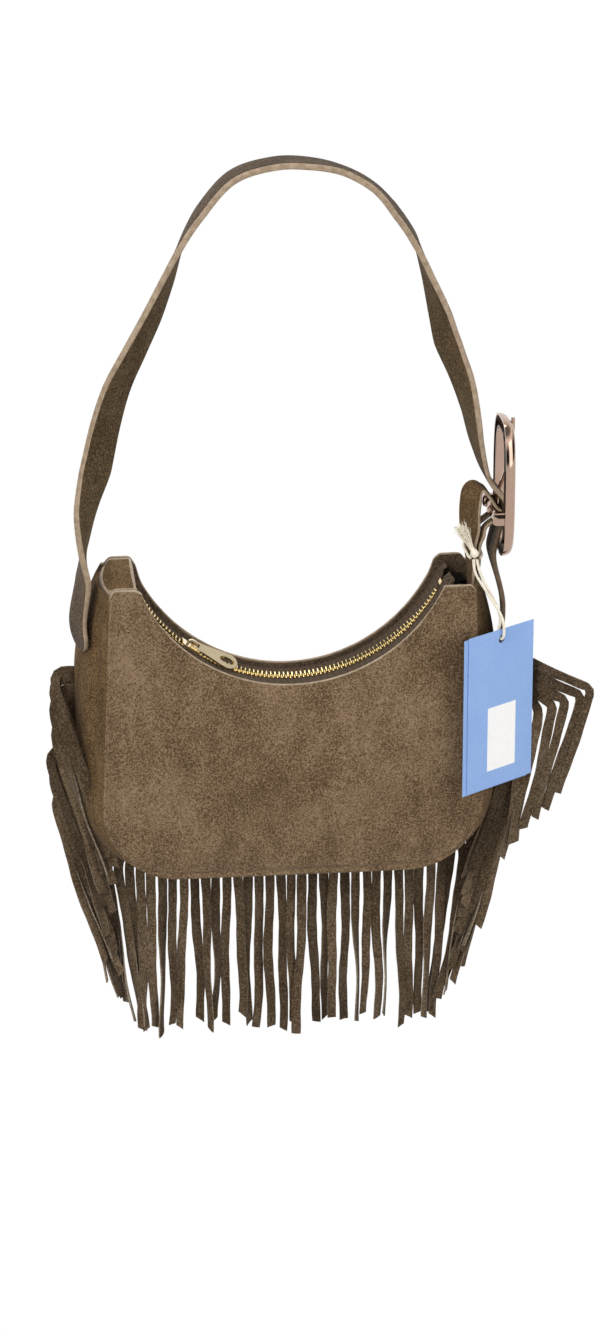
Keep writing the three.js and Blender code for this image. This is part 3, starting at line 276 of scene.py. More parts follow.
class Build:
    """Collects the points and faces of one piece, with a material number for each face."""

    def __init__(self):
        self.points = []
        self.faces = []
        self.looks = []
        self.uvs = []

    def grid(self, points, look=0, closed=False, flip=False, uv=None):
        """Adds a grid of points (rows, columns, 3); closed joins the last column to the first."""
        rows, columns = points.shape[:2]
        start = len(self.points)
        self.points.extend(points.reshape(-1, 3).tolist())
        if uv is None:
            a, b = np.meshgrid(np.linspace(0, 1, rows), np.linspace(0, 1, columns), indexing="ij")
            uv = np.stack([a, b], -1)
        self.uvs.extend(uv.reshape(-1, 2).tolist())
        ends = columns if closed else columns - 1
        for i in range(rows - 1):
            for k in range(ends):
                after = (k + 1) % columns
                near, far = i * columns, (i + 1) * columns
                face = [near + k, near + after, far + after, far + k]
                self.faces.append([start + v for v in (face[::-1] if flip else face)])
                self.looks.append(look[k] if isinstance(look, (list, tuple)) else look)
        return start

    def cap(self, indices, look=0):
        self.faces.append(list(indices))
        self.looks.append(look)

    def tube(self, sections, look=0, uv=None):
        """A solid through sections (count, corners, 3), with flat ends."""
        sections = np.asarray(sections, float)
        count, corners = sections.shape[:2]
        start = self.grid(sections, look, closed=True, uv=uv)
        end_look = look[0] if isinstance(look, (list, tuple)) else look
        self.cap([start + k for k in range(corners)][::-1], end_look)
        self.cap([start + (count - 1) * corners + k for k in range(corners)], end_look)

    def shell(self, outer, inner, look=0, inner_look=None, rim_look=None):
        """A sheet between two grids of the same size; rim_look is for the rim of the last column."""
        rows, columns = outer.shape[:2]
        a = self.grid(outer, look)
        b = self.grid(inner, look if inner_look is None else inner_look, flip=True)
        rim = look if rim_look is None else rim_look
        for i in range(rows - 1):
            for column, rim_here in ((0, look), (columns - 1, rim)):
                p, q = i * columns + column, (i + 1) * columns + column
                self.cap([a + p, a + q, b + q, b + p], rim_here)
        for k in range(columns - 1):
            for row in (0, rows - 1):
                p, q = row * columns + k, row * columns + k + 1
                self.cap([a + p, a + q, b + q, b + p], look)

    def finish(self, name, body, materials, replaces=(), merge=False):
        mesh = bpy.data.meshes.new(name)
        mesh.from_pydata(to_frame(self.points).tolist(), [], self.faces)
        for material in materials:
            mesh.materials.append(material)
        mesh.polygons.foreach_set("material_index", self.looks)
        layer = mesh.uv_layers.new(name="run")
        corners = np.zeros(len(mesh.loops), dtype=np.int32)
        mesh.loops.foreach_get("vertex_index", corners)
        layer.data.foreach_set("uv", np.array(self.uvs)[corners].ravel())
        work = bmesh.new()
        work.from_mesh(mesh)
        if merge:
            bmesh.ops.remove_doubles(work, verts=work.verts, dist=1e-6)
        bmesh.ops.recalc_face_normals(work, faces=work.faces)
        for face in work.faces:
            face.smooth = True
        work.to_mesh(mesh)
        work.free()
        obj = bpy.data.objects.new(name, mesh)
        bpy.context.collection.objects.link(obj)
        mesh.set_sharp_from_angle(angle=math.radians(50))
        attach(obj, body)
        if replaces:
            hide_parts(*replaces)
        return obj


# Materials
def linear(colour):
    """A colour given as seen, 0 to 255, as the shader wants it."""
    def one(value):
        share = value / 255
        return share / 12.92 if share <= 0.04045 else ((share + 0.055) / 1.055) ** 2.4
    return tuple(one(value) for value in colour) + (1,)


class Look:
    """A principled material with helpers for its nodes."""

    def __init__(self, name, roughness=0.9, metallic=0.0, sheen=0.0, specular=0.3):
        self.material = bpy.data.materials.new(name)
        self.material.use_nodes = True
        self.nodes = self.material.node_tree.nodes
        self.links = self.material.node_tree.links
        self.shader = self.nodes["Principled BSDF"]
        self.shader.inputs["Roughness"].default_value = roughness
        self.shader.inputs["Metallic"].default_value = metallic
        self.shader.inputs["Sheen Weight"].default_value = sheen
        self.shader.inputs["Sheen Roughness"].default_value = 0.5
        self.shader.inputs["Specular IOR Level"].default_value = specular
        self.place = self.nodes.new("ShaderNodeTexCoord").outputs["Object"]
        self.bumped = None

    def stretched(self, scale, coordinate=None):
        node = self.nodes.new("ShaderNodeMapping")
        node.inputs["Scale"].default_value = scale
        self.links.new(coordinate or self.place, node.inputs["Vector"])
        return node.outputs["Vector"]

    def uv(self):
        node = self.nodes.new("ShaderNodeUVMap")
        node.uv_map = "run"
        return node.outputs["UV"]

    def noise(self, scale, detail=3, rough=0.6, where=None, twist=0.0):
        node = self.nodes.new("ShaderNodeTexNoise")
        node.inputs["Scale"].default_value = scale
        node.inputs["Detail"].default_value = detail
        node.inputs["Roughness"].default_value = rough
        node.inputs["Distortion"].default_value = twist
        self.links.new(where or self.place, node.inputs["Vector"])
        return node.outputs["Fac"]

    def ramp(self, value, stops):
        node = self.nodes.new("ShaderNodeValToRGB")
        while len(node.color_ramp.elements) < len(stops):
            node.color_ramp.elements.new(0.5)
        for element, (place, colour) in zip(node.color_ramp.elements, stops):
            element.position = place
            element.color = colour
        self.links.new(value, node.inputs["Fac"])
        return node.outputs["Color"]

    def blend(self, a, b, share, kind="MIX"):
        node = self.nodes.new("ShaderNodeMix")
        node.data_type = "RGBA"
        node.blend_type = kind
        for name, value in (("Factor", share), ("A", a), ("B", b)):
            self.feed(value, [s for s in node.inputs if s.name == name and s.enabled][0])
        return [s for s in node.outputs if s.enabled][0]

    def feed(self, value, socket):
        if isinstance(value, bpy.types.NodeSocket):
            self.links.new(value, socket)
        else:
            socket.default_value = value

    def maths(self, kind, a, b=0.0):
        node = self.nodes.new("ShaderNodeMath")
        node.operation = kind
        self.feed(a, node.inputs[0])
        self.feed(b, node.inputs[1])
        return node.outputs[0]

    def weighted(self, first, second, *others):
        """The sum of values, each times its weight."""
        total = self.maths("MULTIPLY", *first)
        for value, weight in (second, *others):
            total = self.maths("ADD", total, self.maths("MULTIPLY", value, weight))
        return total

    def colour(self, value):
        self.feed(value, self.shader.inputs["Base Color"])

    def bump(self, height, depth, strength=1.0):
        node = self.nodes.new("ShaderNodeBump")
        node.inputs["Strength"].default_value = strength
        node.inputs["Distance"].default_value = depth
        self.links.new(height, node.inputs["Height"])
        if self.bumped:
            self.links.new(self.bumped, node.inputs["Normal"])
        self.bumped = node.outputs["Normal"]
        self.links.new(self.bumped, self.shader.inputs["Normal"])


def suede(name, dark, middle, light, nap=1.0, sheen=0.1, each=False):
    """Brushed suede: a fine nap over brushed patches; each gives every strip a tone of its own."""
    look = Look(name, roughness=0.95, sheen=sheen, specular=0.1)
    patches = look.noise(13, 4, 0.6, twist=0.5)
    strokes = look.noise(75, 3, 0.65, where=look.stretched((1, 1, 0.5)))
    grain = look.noise(840, 3, 0.85)
    fleck = look.noise(1500, 2, 0.8)
    tone = look.weighted((patches, 0.17), (strokes, 0.15), (grain, 0.68))
    base = look.ramp(tone, [(0.435, linear(dark)), (0.5, linear(middle)), (0.565, linear(light))])
    pit, tip = (0.5, 0.48, 0.46, 1), (1.36, 1.35, 1.32, 1)
    pores = look.ramp(fleck, [(0.36, pit), (0.5, (1, 1, 1, 1)), (0.66, tip)])
    base = look.blend(base, pores, 0.8, "MULTIPLY")
    if each:
        parts = look.nodes.new("ShaderNodeSeparateXYZ")
        look.links.new(look.uv(), parts.inputs[0])
        own = look.ramp(parts.outputs["X"], [(0.0, (0.62, 0.61, 0.6, 1)), (1.0, (1.28, 1.27, 1.26, 1))])
        base = look.blend(base, own, 1.0, "MULTIPLY")
    look.colour(base)
    look.bump(grain, 0.0005 * nap, 0.9)
    look.bump(strokes, 0.0006 * nap, 0.4)
    return look.material


def painted_edge(name, base, worn):
    """Edge paint on cut leather: smooth, faintly uneven, with a few rubbed flecks."""
    look = Look(name, roughness=0.48, specular=0.4)
    streaks = look.noise(260, 4, 0.6)
    wear = look.noise(120, 5, 0.8)
    ground = look.ramp(streaks, [(0.35, linear(base)), (0.62, linear(worn))])
    rubbed = look.ramp(wear, [(0.66, (0, 0, 0, 1)), (0.72, (1, 1, 1, 1))])
    look.colour(look.blend(ground, linear((224, 214, 196)), rubbed))
    look.bump(streaks, 0.0002, 0.6)
    return look.material


def metal(name, base, roughness):
    look = Look(name, roughness=roughness, metallic=1.0, specular=0.5)
    smear = look.noise(90, 4, 0.6)
    scuffs = look.noise(700, 3, 0.6, where=look.stretched((1, 1, 0.25)))
    bright = linear(base)
    dull = tuple(0.9 * value for value in bright[:3]) + (1,)
    look.colour(look.ramp(smear, [(0.3, dull), (0.7, bright)]))
    low = look.maths("MULTIPLY", scuffs, 0.12)
    look.feed(look.maths("ADD", low, roughness - 0.05), look.shader.inputs["Roughness"])
    look.bump(scuffs, 0.00002, 0.4)
    return look.material


def herringbone(name, dark, light):
    """Zip tape: ribs that slant one way and the other in turn across the tape."""
    look = Look(name, roughness=0.85, specular=0.15)
    parts = look.nodes.new("ShaderNodeSeparateXYZ")
    look.links.new(look.uv(), parts.inputs[0])
    along, across = parts.outputs["X"], parts.outputs["Y"]
    ribs = look.maths("PINGPONG", across, 0.25)
    slant = look.maths("ADD", along, look.maths("MULTIPLY", ribs, 0.024))
    wave = look.maths("SINE", look.maths("MULTIPLY", slant, 1500.0))
    level = look.maths("ADD", look.maths("MULTIPLY", wave, 0.5), 0.5)
    fuzz = look.noise(1400, 2, 0.6)
    tone = look.weighted((level, 0.65), (fuzz, 0.35))
    look.colour(look.ramp(tone, [(0.2, linear(dark)), (0.85, linear(light))]))
    look.bump(level, 0.0002, 0.8)
    return look.material


def woven(name, dark, light, scale):
    look = Look(name, roughness=0.85, specular=0.15)
    warp = look.noise(scale, 2, 0.5, where=look.stretched((1, 1, 0.08)))
    weft = look.noise(scale, 2, 0.5, where=look.stretched((0.08, 0.3, 1)))
    cloth = look.maths("MULTIPLY", warp, weft)
    look.colour(look.ramp(cloth, [(0.12, linear(dark)), (0.42, linear(light))]))
    look.bump(cloth, 0.0002, 0.7)
    return look.material


def cotton(name, base, shade):
    look = Look(name, roughness=0.95, sheen=0.3, specular=0.15)
    fibres = look.noise(1800, 4, 0.7, where=look.stretched((1, 1, 0.3)))
    look.colour(look.ramp(fibres, [(0.3, linear(shade)), (0.6, linear(base))]))
    look.bump(fibres, 0.00025, 0.8)
    return look.material


def paper(name, base, shade, roughness=0.7):
    look = Look(name, roughness=roughness, specular=0.25)
    fibres = look.noise(420, 5, 0.65)
    broad = look.noise(22, 2, 0.5)
    tone = look.weighted((fibres, 0.55), (broad, 0.45))
    look.colour(look.ramp(tone, [(0.36, linear(shade)), (0.6, linear(base))]))
    look.bump(fibres, 0.00006, 0.5)
    return look.material


FRONT_SUEDE = suede("suede_front", (78, 60, 42), (114, 93, 70), (140, 119, 95))
BACK_SUEDE = suede("suede_back", (76, 58, 41), (110, 90, 68), (136, 115, 92))
GUSSET_SUEDE = suede("suede_gusset", (66, 48, 30), (98, 76, 50), (124, 101, 72), sheen=0.03)
FRINGE_SUEDE = suede("suede_fringe", (62, 48, 34), (88, 73, 56), (112, 97, 79), nap=0.8, each=True)
FRINGE_FLESH = suede("suede_fringe_flesh", (80, 70, 58), (108, 97, 83), (134, 123, 108), 0.8, each=True)
STRAP_OUTER = suede("suede_strap_outer", (60, 46, 30), (86, 70, 49), (112, 94, 70), sheen=0.03)
STRAP_INNER = suede("suede_strap_inner", (40, 30, 21), (74, 59, 42), (106, 88, 67), nap=1.5)
INSIDE_SUEDE = suede("suede_flesh_side", (66, 54, 42), (92, 77, 61), (112, 96, 79))
MOUTH_EDGE = painted_edge("mouth_edge_paint", (140, 122, 100), (168, 150, 128))
STRAP_EDGE = painted_edge("strap_edge_paint", (138, 118, 96), (165, 145, 123))
# Darker edge paint on the strap's tail; on the gusset it is painted shade in the flap's crease
TAIL_EDGE_AND_CREASE_SHADE = painted_edge("strap_tail_edge_and_crease_shade", (76, 60, 44), (98, 80, 61))
CUT_EDGE = suede("fringe_cut_edge", (104, 91, 75), (132, 119, 102), (160, 147, 130), nap=0.6)
GOLD = metal("gold_teeth", (250, 226, 160), 0.25)
PALE_GOLD = metal("pale_gold", (246, 228, 190), 0.2)
ROSE_GOLD = metal("rose_gold", (184, 156, 139), 0.1)
# The ring's hollow back: rose gold painted darker as shade in the hollow
BUCKLE_HOLLOW_PAINTED_SHADE = metal("buckle_hollow_painted_shade", (92, 76, 66), 0.34)
TAPE = herringbone("zip_tape", (52, 42, 33), (98, 82, 68))
LINING = woven("lining_cloth", (24, 20, 17), (52, 44, 37), 1500)
COTTON = cotton("cotton_string", (248, 242, 226), (214, 203, 180))
CARD = paper("blue_card", (150, 182, 232), (140, 173, 226))
STICKER = paper("white_sticker", (252, 252, 252), (243, 243, 244), 0.5)


# The body's outline, as in the part's source
def half_width(z, blend):
    up = np.maximum(0, z - CORNER_RADIUS) / (BODY_HEIGHT - CORNER_RADIUS)
    front = mix(FRONT_HALF_WIDTH, FRONT_PEAK_HALF_WIDTH, up)
    rise = np.maximum(0, z - BACK_SHOULDER_HEIGHT) / (BODY_HEIGHT - BACK_SHOULDER_HEIGHT)
    back = BACK_HALF_WIDTH - (BACK_HALF_WIDTH - BACK_PEAK_HALF_WIDTH) * rise ** 2.5
    return mix(front, back, blend)


def outline(s, blend, inset=0.0):
    """x and z on the outline, s from -1 at the left peak round the base to 1 at the right one."""
    s = np.asarray(s, float)
    share = np.abs(s)
    side = np.where(s < 0, -1.0, 1.0)
    width = half_width(0.0, blend) - inset
    radius = CORNER_RADIUS - inset
    round_corner = np.clip((share - STRAIGHT_BASE_SHARE) / (CORNER_END_SHARE - STRAIGHT_BASE_SHARE), 0, 1)
    turn = round_corner * math.pi / 2
    up_side = np.clip((share - CORNER_END_SHARE) / (1 - CORNER_END_SHARE), 0, 1)
    z_side = mix(CORNER_RADIUS, BODY_HEIGHT, up_side)
    x_side = half_width(z_side, blend) - inset
    x_corner = width - radius + radius * np.sin(turn)
    z_corner = inset + radius * (1 - np.cos(turn))
    flat = share / STRAIGHT_BASE_SHARE * (width - radius)
    on_base, on_corner = share < STRAIGHT_BASE_SHARE, share < CORNER_END_SHARE
    x = np.where(on_base, flat, np.where(on_corner, x_corner, x_side))
    z = np.where(on_base, inset, np.where(on_corner, z_corner, z_side))
    return np.stack([side * x, z + 0 * x], -1)


def outline_normal(s, blend):
    step = 0.004
    along = outline(np.minimum(1, s + step), blend) - outline(np.maximum(-1, s - step), blend)
    along /= np.linalg.norm(along, axis=-1, keepdims=True)
    return np.stack([along[..., 1], -along[..., 0]], -1)


def mouth_half_depth(x):
    return mix(MOUTH_DEPTH / 2, HALF_DEPTH, np.minimum(1, (x / MOUTH_HALF_WIDTH) ** 2))


def mouth_edge(u, blend, inset=0.0, drop=0.0):
    u = np.asarray(u, float)
    from_peak = np.minimum(u, 1 - u) / PEAK_COLUMNS
    peak_x = mix(half_width(BODY_HEIGHT, blend) - inset, MOUTH_HALF_WIDTH, np.minimum(1, from_peak))
    angle = mix(-MOUTH_HALF_ANGLE, MOUTH_HALF_ANGLE, (u - PEAK_COLUMNS) / (1 - 2 * PEAK_COLUMNS))
    x = np.where(from_peak < 1, np.where(u < 0.5, -peak_x, peak_x), MOUTH_RADIUS * np.sin(angle))
    lip = FRONT_LIP_DROP * (1 - blend) * np.cos(angle / MOUTH_HALF_ANGLE * math.pi / 2)
    z_arc = MOUTH_CENTRE_Z - drop - lip - MOUTH_RADIUS * np.cos(angle)
    z = np.where(from_peak < 1, BODY_HEIGHT - drop, z_arc)
    return np.stack([x, z], -1)


def panel_face(facing, bulge, u, v, inset=0.0, drop=0.0):
    """Points of a panel's outer face; facing is -1 in front and 1 behind."""
    blend = 0 if facing < 0 else 1
    middle = (STRAIGHT_BASE_SHARE + CORNER_END_SHARE) / 2

    def base(a):
        return outline(mix(-middle, middle, a), blend, inset)

    def side(b, sign):
        point = outline(sign * mix(middle, 1, b), blend, inset)
        point[..., 1] -= drop * b
        return point

    top = mouth_edge(u, blend, inset, drop)
    ends = [mouth_edge(np.array(a), blend, inset, drop) for a in (0.0, 1.0)]
    w, h = u[..., None], v[..., None]
    flat = base(u) * (1 - h) + top * h + side(v, -1) * (1 - w) + side(v, 1) * w
    flat = flat - base(np.array(0.0)) * (1 - w) * (1 - h) - base(np.array(1.0)) * w * (1 - h)
    flat = flat - ends[0] * (1 - w) * h - ends[1] * w * h
    from_side = np.minimum(1, 8 * u * (1 - u))
    rim = mix(HALF_DEPTH, mouth_half_depth(top[..., 0]), from_side * v ** 2)
    swell = bulge * np.sin(np.pi * np.clip(u, 0, 1)) ** 0.8 * np.sin(np.pi * np.clip(v, 0, 1) ** 0.85)
    return np.stack([flat[..., 0], facing * (rim + swell - inset), flat[..., 1]], -1)


def peak_shape(points):
    """The peaks stand unevenly, the rear ones and the left one higher, and their corners are rounded."""
    x, y, z = points[..., 0], points[..., 1], points[..., 2]
    back = np.clip((y + HALF_DEPTH) / (2 * HALF_DEPTH), 0, 1)
    highest = np.where(x < 0, mix(*LEFT_PEAK_RISE, back), mix(*RIGHT_PEAK_RISE, back))
    rise = highest * smoothstep(np.abs(x), 90, 99)
    rounding = np.minimum(4, 0.25 * np.maximum(0, np.abs(x) - 110) ** 2)
    shaped = points.copy()
    shaped[..., 2] += smoothstep(z, 140, BODY_HEIGHT) * (rise - rounding)
    return shaped


def face_normals(points):
    along = np.gradient(points, axis=0)
    across = np.gradient(points, axis=1)
    return unit_rows(np.cross(along, across))


def spaced(count, crowd=0.0):
    """Shares from 0 to 1 that crowd towards both ends."""
    t = np.linspace(0, 1, count)
    return mix(t, (1 - np.cos(np.pi * t)) / 2, crowd)


# Body panels: the base and side edges roll in to a turned seam, the mouth's edge is cut and painted
def make_panel(name, facing, bulge, seed, material, node):
    u, v = np.meshgrid(spaced(190, 0.55), spaced(130, 0.75), indexing="ij")
    face = panel_face(facing, bulge, u, v)
    normal = face_normals(face)
    normal *= np.sign(normal[..., 1:2] * facing)
    from_base = np.linalg.norm(face - face[:, :1], axis=-1)
    from_sides = np.minimum(
        np.linalg.norm(face - face[:1, :], axis=-1), np.linalg.norm(face - face[-1:, :], axis=-1)
    )
    from_seam = np.minimum(from_base, from_sides)
    from_mouth = np.linalg.norm(face - face[:, -1:], axis=-1)
    soft = smoothstep(from_seam, 3, 26) * smoothstep(from_mouth, 2, 24)
    x, z = face[..., 0], face[..., 2]
    height = 0.8 * ripple(x / 22, z / 22, seed) * soft
    height += 0.22 * ripple(x / 6, z / 6, seed + 1) * soft
    height -= 0.9 * np.exp(-((from_seam - 4.2) / 1.5) ** 2)
    height += 0.7 * np.exp(-((from_seam - 1.2) / 1.3) ** 2)
    height += 0.35 * ripple(x / 5, z / 5, seed + 2) * np.exp(-((from_seam - 7) / 5) ** 2)
    height -= 0.35 * np.exp(-((from_mouth - 3.4) / 0.9) ** 2)
    outer = face + normal * (height[..., None] + 0.2)
    edge = np.exp(-(from_mouth / 0.5) ** 2)[..., None]
    inner = face - normal * (SUEDE - 0.2)
    outer = outer - normal * 0.35 * edge
    build = Build()
    build.shell(peak_shape(outer), peak_shape(inner), 0, inner_look=1, rim_look=2)
    rows, columns = (size - 1 for size in from_mouth.shape)
    for i in range(rows):
        for k in range(columns):
            if from_mouth[i, k] < 1.15:
                build.looks[i * columns + k] = 2
                build.looks[(rows + i) * columns + k] = 2
    return build.finish(name, "bag", [material, INSIDE_SUEDE, MOUTH_EDGE], [node])


# Gusset: the band between the panels, with a soft fold beside each seam and the flap at the left peak
def gusset_face(s, t, depth_in):
    swell = GUSSET_BULGE * np.sin(np.pi * t)
    y = mix(GUSSET_FRONT_Y, GUSSET_BACK_Y, t)
    point = outline(np.maximum(s, -1), t)
    normal = outline_normal(np.maximum(s, -1), t)
    share = np.abs(s)
    fade = np.clip(np.clip((share - STRAIGHT_BASE_SHARE) / 0.2, 0, None) + 0.35, 0, 1)
    fade = np.where(share > 0.9, mix(fade, 1, (share - 0.9) / 0.1), fade)
    point = point + normal * (swell * fade - depth_in)[..., None]
    peak = BODY_HEIGHT - PEAK_FLAP_BEND
    z = np.where(s < -0.97, np.minimum(point[..., 1], peak), point[..., 1])
    x = point[..., 0]
    along = np.maximum(0, (-1 - s) / FLAP_SHARE)
    start = half_width(BODY_HEIGHT, t) + swell
    bend = np.minimum(1, along / 0.3) * math.pi / 2
    run = np.maximum(0, along - 0.3) / 0.7
    reach = PEAK_FLAP_LENGTH + start - half_width(BODY_HEIGHT, 0) - PEAK_FLAP_BEND
    radius = PEAK_FLAP_BEND - depth_in
    on_flap = s <= -1
    x = np.where(on_flap, -start + PEAK_FLAP_BEND - radius * np.cos(bend) + run * reach, x)
    z = np.where(on_flap, peak + radius * np.sin(bend), z)
    return np.stack([x, y, z], -1)


def make_gusset():
    on_flap = np.linspace(-1 - FLAP_SHARE, -1.0, FLAP_ROWS + 1)[:-1]
    s = np.concatenate([on_flap, np.linspace(-1.0, 1.0, 340)])
    t = spaced(34, 0.7)
    s, t = np.meshgrid(s, t, indexing="ij")
    outer = gusset_face(s, t, 0.0)
    inner = gusset_face(s, t, SUEDE)
    inward = unit_rows(inner - outer)
    side = smoothstep(np.abs(s), 0.5, 0.62) * (1 - smoothstep(np.abs(s), 0.9, 1.0))
    fold_left = -2.4 * side * np.exp(-((t - 0.26) / 0.1) ** 2) * (s < 0)
    fold_right = -1.5 * side * np.exp(-((t - 0.3) / 0.12) ** 2) * (s > 0)
    fold = fold_left + fold_right
    fold += 0.5 * ripple(s * 22, t * 5, 31) * np.sin(np.pi * t)
    fold -= 0.7 * np.exp(-((t - 0.075) / 0.03) ** 2)
    outer = outer - inward * fold[..., None]
    inner = inner - inward * fold[..., None]
    build = Build()
    build.shell(peak_shape(outer), peak_shape(inner), 0, inner_look=1)
    columns = s.shape[1] - 1
    # Flap rows: pale paint on the cut edges, and rows 21 and 22 in the bend painted dark brown as shade in
    # the crease
    for i in range(FLAP_ROWS):
        for k in range(columns):
            if i in (0, 1, 19, 20) or k < 3 or k > columns - 4:
                build.looks[i * columns + k] = 2
            elif i in (21, 22):
                build.looks[i * columns + k] = 3
    materials = [GUSSET_SUEDE, INSIDE_SUEDE, MOUTH_EDGE, TAIL_EDGE_AND_CREASE_SHADE]
    return build.finish("gusset_band", "bag", materials, ["gusset"])


# Lining: two sheets and a strip, sewn into a pouch, slack between its seams
def make_lining():
    build = Build()
    for facing, bulge, seed in ((-1, FRONT_BULGE, 51), (1, BACK_BULGE, 52)):
        u, v = np.meshgrid(spaced(60), spaced(40), indexing="ij")
        face = panel_face(facing, bulge, u, v, 4.5, LINING_TOP_DROP)
        normal = face_normals(face)
        normal *= np.sign(normal[..., 1:2] * facing)
        slack = np.sin(np.pi * u) * np.sin(np.pi * v)
        slack = 0.8 * slack * (1 + ripple(face[..., 0] / 14, face[..., 2] / 14, seed))
        face = face - normal * slack[..., None]
        build.shell(peak_shape(face), peak_shape(face - normal * 0.8))
    s, t = np.meshgrid(np.linspace(-1, 1, 120), np.linspace(0, 1, 12), indexing="ij")
    strips = []
    for inset in (4.5, 5.3):
        point = outline(s, t, inset)
        y = mix(-HALF_DEPTH + 4.5, HALF_DEPTH - 4.5, t)
        z = np.minimum(point[..., 1], BODY_HEIGHT - LINING_TOP_DROP - 1)
        strips.append(np.stack([point[..., 0], y, z], -1))
    build.shell(*strips)
    return build.finish("lining_pouch", "bag", [LINING], ["lining"])


# Zip
def zip_opening(angle):
    past = np.maximum(0, SLIDER_AT - angle) * ZIP_RADIUS
    return OPEN_HALF_GAP * (1 - np.exp(-past / OPEN_SPREAD_LENGTH))


def on_zip(angle, y, height):
    """A point over the zip's curve; the closed chain leans a little towards the front."""
    closed = smoothstep(angle - SLIDER_AT, *LEAN_FROM_SLIDER) * smoothstep(ZIP_END - angle, *LEAN_FROM_END)
    lean = y / CHAIN_HALF_WIDTH
    radius = ZIP_RADIUS - height - CHAIN_LEAN * closed * lean * np.exp(0.5 - 0.5 * lean ** 2)
    return np.stack([radius * np.sin(angle), y + 0 * angle, MOUTH_CENTRE_Z - radius * np.cos(angle)], -1)


def make_tape(facing, node):
    over_left, over_right = TAPE_PAST_LEFT / ZIP_RADIUS, TAPE_PAST_RIGHT / ZIP_RADIUS
    run = np.linspace(-ZIP_END - over_left, ZIP_END + over_right, 280)
    angle, v = np.meshgrid(run, np.linspace(0, 1, 16), indexing="ij")
    sewn = mouth_half_depth(on_zip(angle, 0, 0)[..., 0]) - SUEDE - GAP
    y = facing * mix(sewn - 0.6, TAPE_INNER + zip_opening(angle), v)
    slack = np.sin(np.pi * v) * (0.25 * ripple(angle * 30, v * 2, 61 + facing) + 0.35)
    past = smoothstep(angle, ZIP_END, ZIP_END + over_right)
    slack = slack + past * 1.6 * ripple(angle * 60, v * 5, 65 + facing)
    y = y + past * 1.2 * ripple(angle * 50, v * 3, 67 + facing) + 2.5 * past
    uv = np.stack([angle * ZIP_RADIUS * MM, v], -1)
    build = Build()
    upper = on_zip(angle, y, 0.35 - slack)
    lower = on_zip(angle, y, -0.35 - slack)
    build.shell(upper, lower)
    build.uvs = np.concatenate([uv.reshape(-1, 2)] * 2).tolist()
    name = "tape_front" if facing < 0 else "tape_rear"
    return build.finish(name, "bag", [TAPE], [node])


def make_teeth(facing, node):
    """Each tooth is a rounded claw clamped on the bead; the bead is a cord along the tape's edge."""
    build = Build()
    half = ZIP_END * ZIP_RADIUS
    count = int(2 * half // TOOTH_PITCH) - 1
    offset = 0.6 if facing < 0 else 1.1
    profile = [
        (-0.5, 0.42, 0.7), (-0.28, 0.56, 0.95), (0.5, 0.6, 1.05), (1.2, 0.5, 1.15),
        (1.9, 0.6, 1.4), (2.8, 0.62, 1.45), (3.3, 0.5, 1.2),
    ]
    for i in range(count):
        middle = (-half + (i + offset) * TOOTH_PITCH) / ZIP_RADIUS
        sections = []
        for across, half_length, half_height in profile:
            ring = []
            for turn in round_about(8, 0.5):
                along, up = squared(turn, 0.6)
                angle = np.array(middle + half_length * along / ZIP_RADIUS)
                ring.append(on_zip(angle, facing * (across + zip_opening(middle)), half_height * up))
            sections.append(ring)
        build.tube(sections)
    sections = []
    for angle in np.linspace(-ZIP_END, ZIP_END, 240):
        ring = []
        for turn in round_about(8):
            y = facing * (BEAD_MIDDLE + BEAD_RADIUS * math.cos(turn) + zip_opening(angle))
            ring.append(on_zip(np.array(angle), y, BEAD_RADIUS * math.sin(turn)))
        sections.append(ring)
    build.tube(sections, look=1)
    name = "teeth_front" if facing < 0 else "teeth_rear"
    return build.finish(name, "bag", [GOLD, TAPE], [node])


# Strap
STRAP_SEWN_X = -(float(half_width(146.0, 0.5)) + GUSSET_BULGE + GAP + STRAP_THICKNESS / 2)
TAIL_SHARE = (STRAP_WIDTH / 2 - GUSSET_FRONT_Y) / (GUSSET_BACK_Y - GUSSET_FRONT_Y)
TAIL_SWELL = GUSSET_BULGE * math.sin(math.pi * TAIL_SHARE)
STRAP_TAIL_X = float(half_width(138.0, TAIL_SHARE)) + TAIL_SWELL + STRAP_THICKNESS / 2 + 3 * GAP
OVER_BAR = BAR_RADIUS + GAP + TAB_THICKNESS + 2 * GAP + STRAP_THICKNESS / 2

# Each stop: x, z and how far the band is turned about its own run, in degrees
STRAP_STOPS = [
    (STRAP_SEWN_X, 146, 18), (STRAP_SEWN_X - 2.6, 164, 18), (STRAP_SEWN_X + 1.4, 192, 12),
    (-128, 212, -10), (-126, 237, -34), (-120, 261, -52), (-112.6, 293, -48), (-105.6, 314.6, -44),
    (-95, 336, -38), (-84.5, 357, -32), (-75, 379, -22), (-66, 401, -8), (-53.5, 422, 0), (-34, 443, 0),
    (-9, 450.5, 0), (9, 450.5, 0), (31, 446, -3), (51, 435, 0), (64.5, 420, 6), (77, 401, 6),
    (85.5, 379, -6), (92.6, 357, -22), (98.4, 336, -32), (107, 314, -25), (113, 292, -14), (117, 272, -8),
    (BAR_X - 4, BAR_Z + 21, 0), (BAR_X + OVER_BAR - 1, BAR_Z + 8, 0), (BAR_X + OVER_BAR, BAR_Z, 0),
    (BAR_X + OVER_BAR - 3.6, BAR_Z - 9, 0), (BAR_X + 0.4, BAR_Z - 18, 0), (BAR_X - 1, BAR_Z - 27, 0),
    (STRAP_TAIL_X, BAR_Z - 58, 6), (STRAP_TAIL_X, 138, 14),
]
ACROSS = np.array([0.0, 1.0, 0.0])
UPWARD = np.array([0.0, 0.0, 1.0])


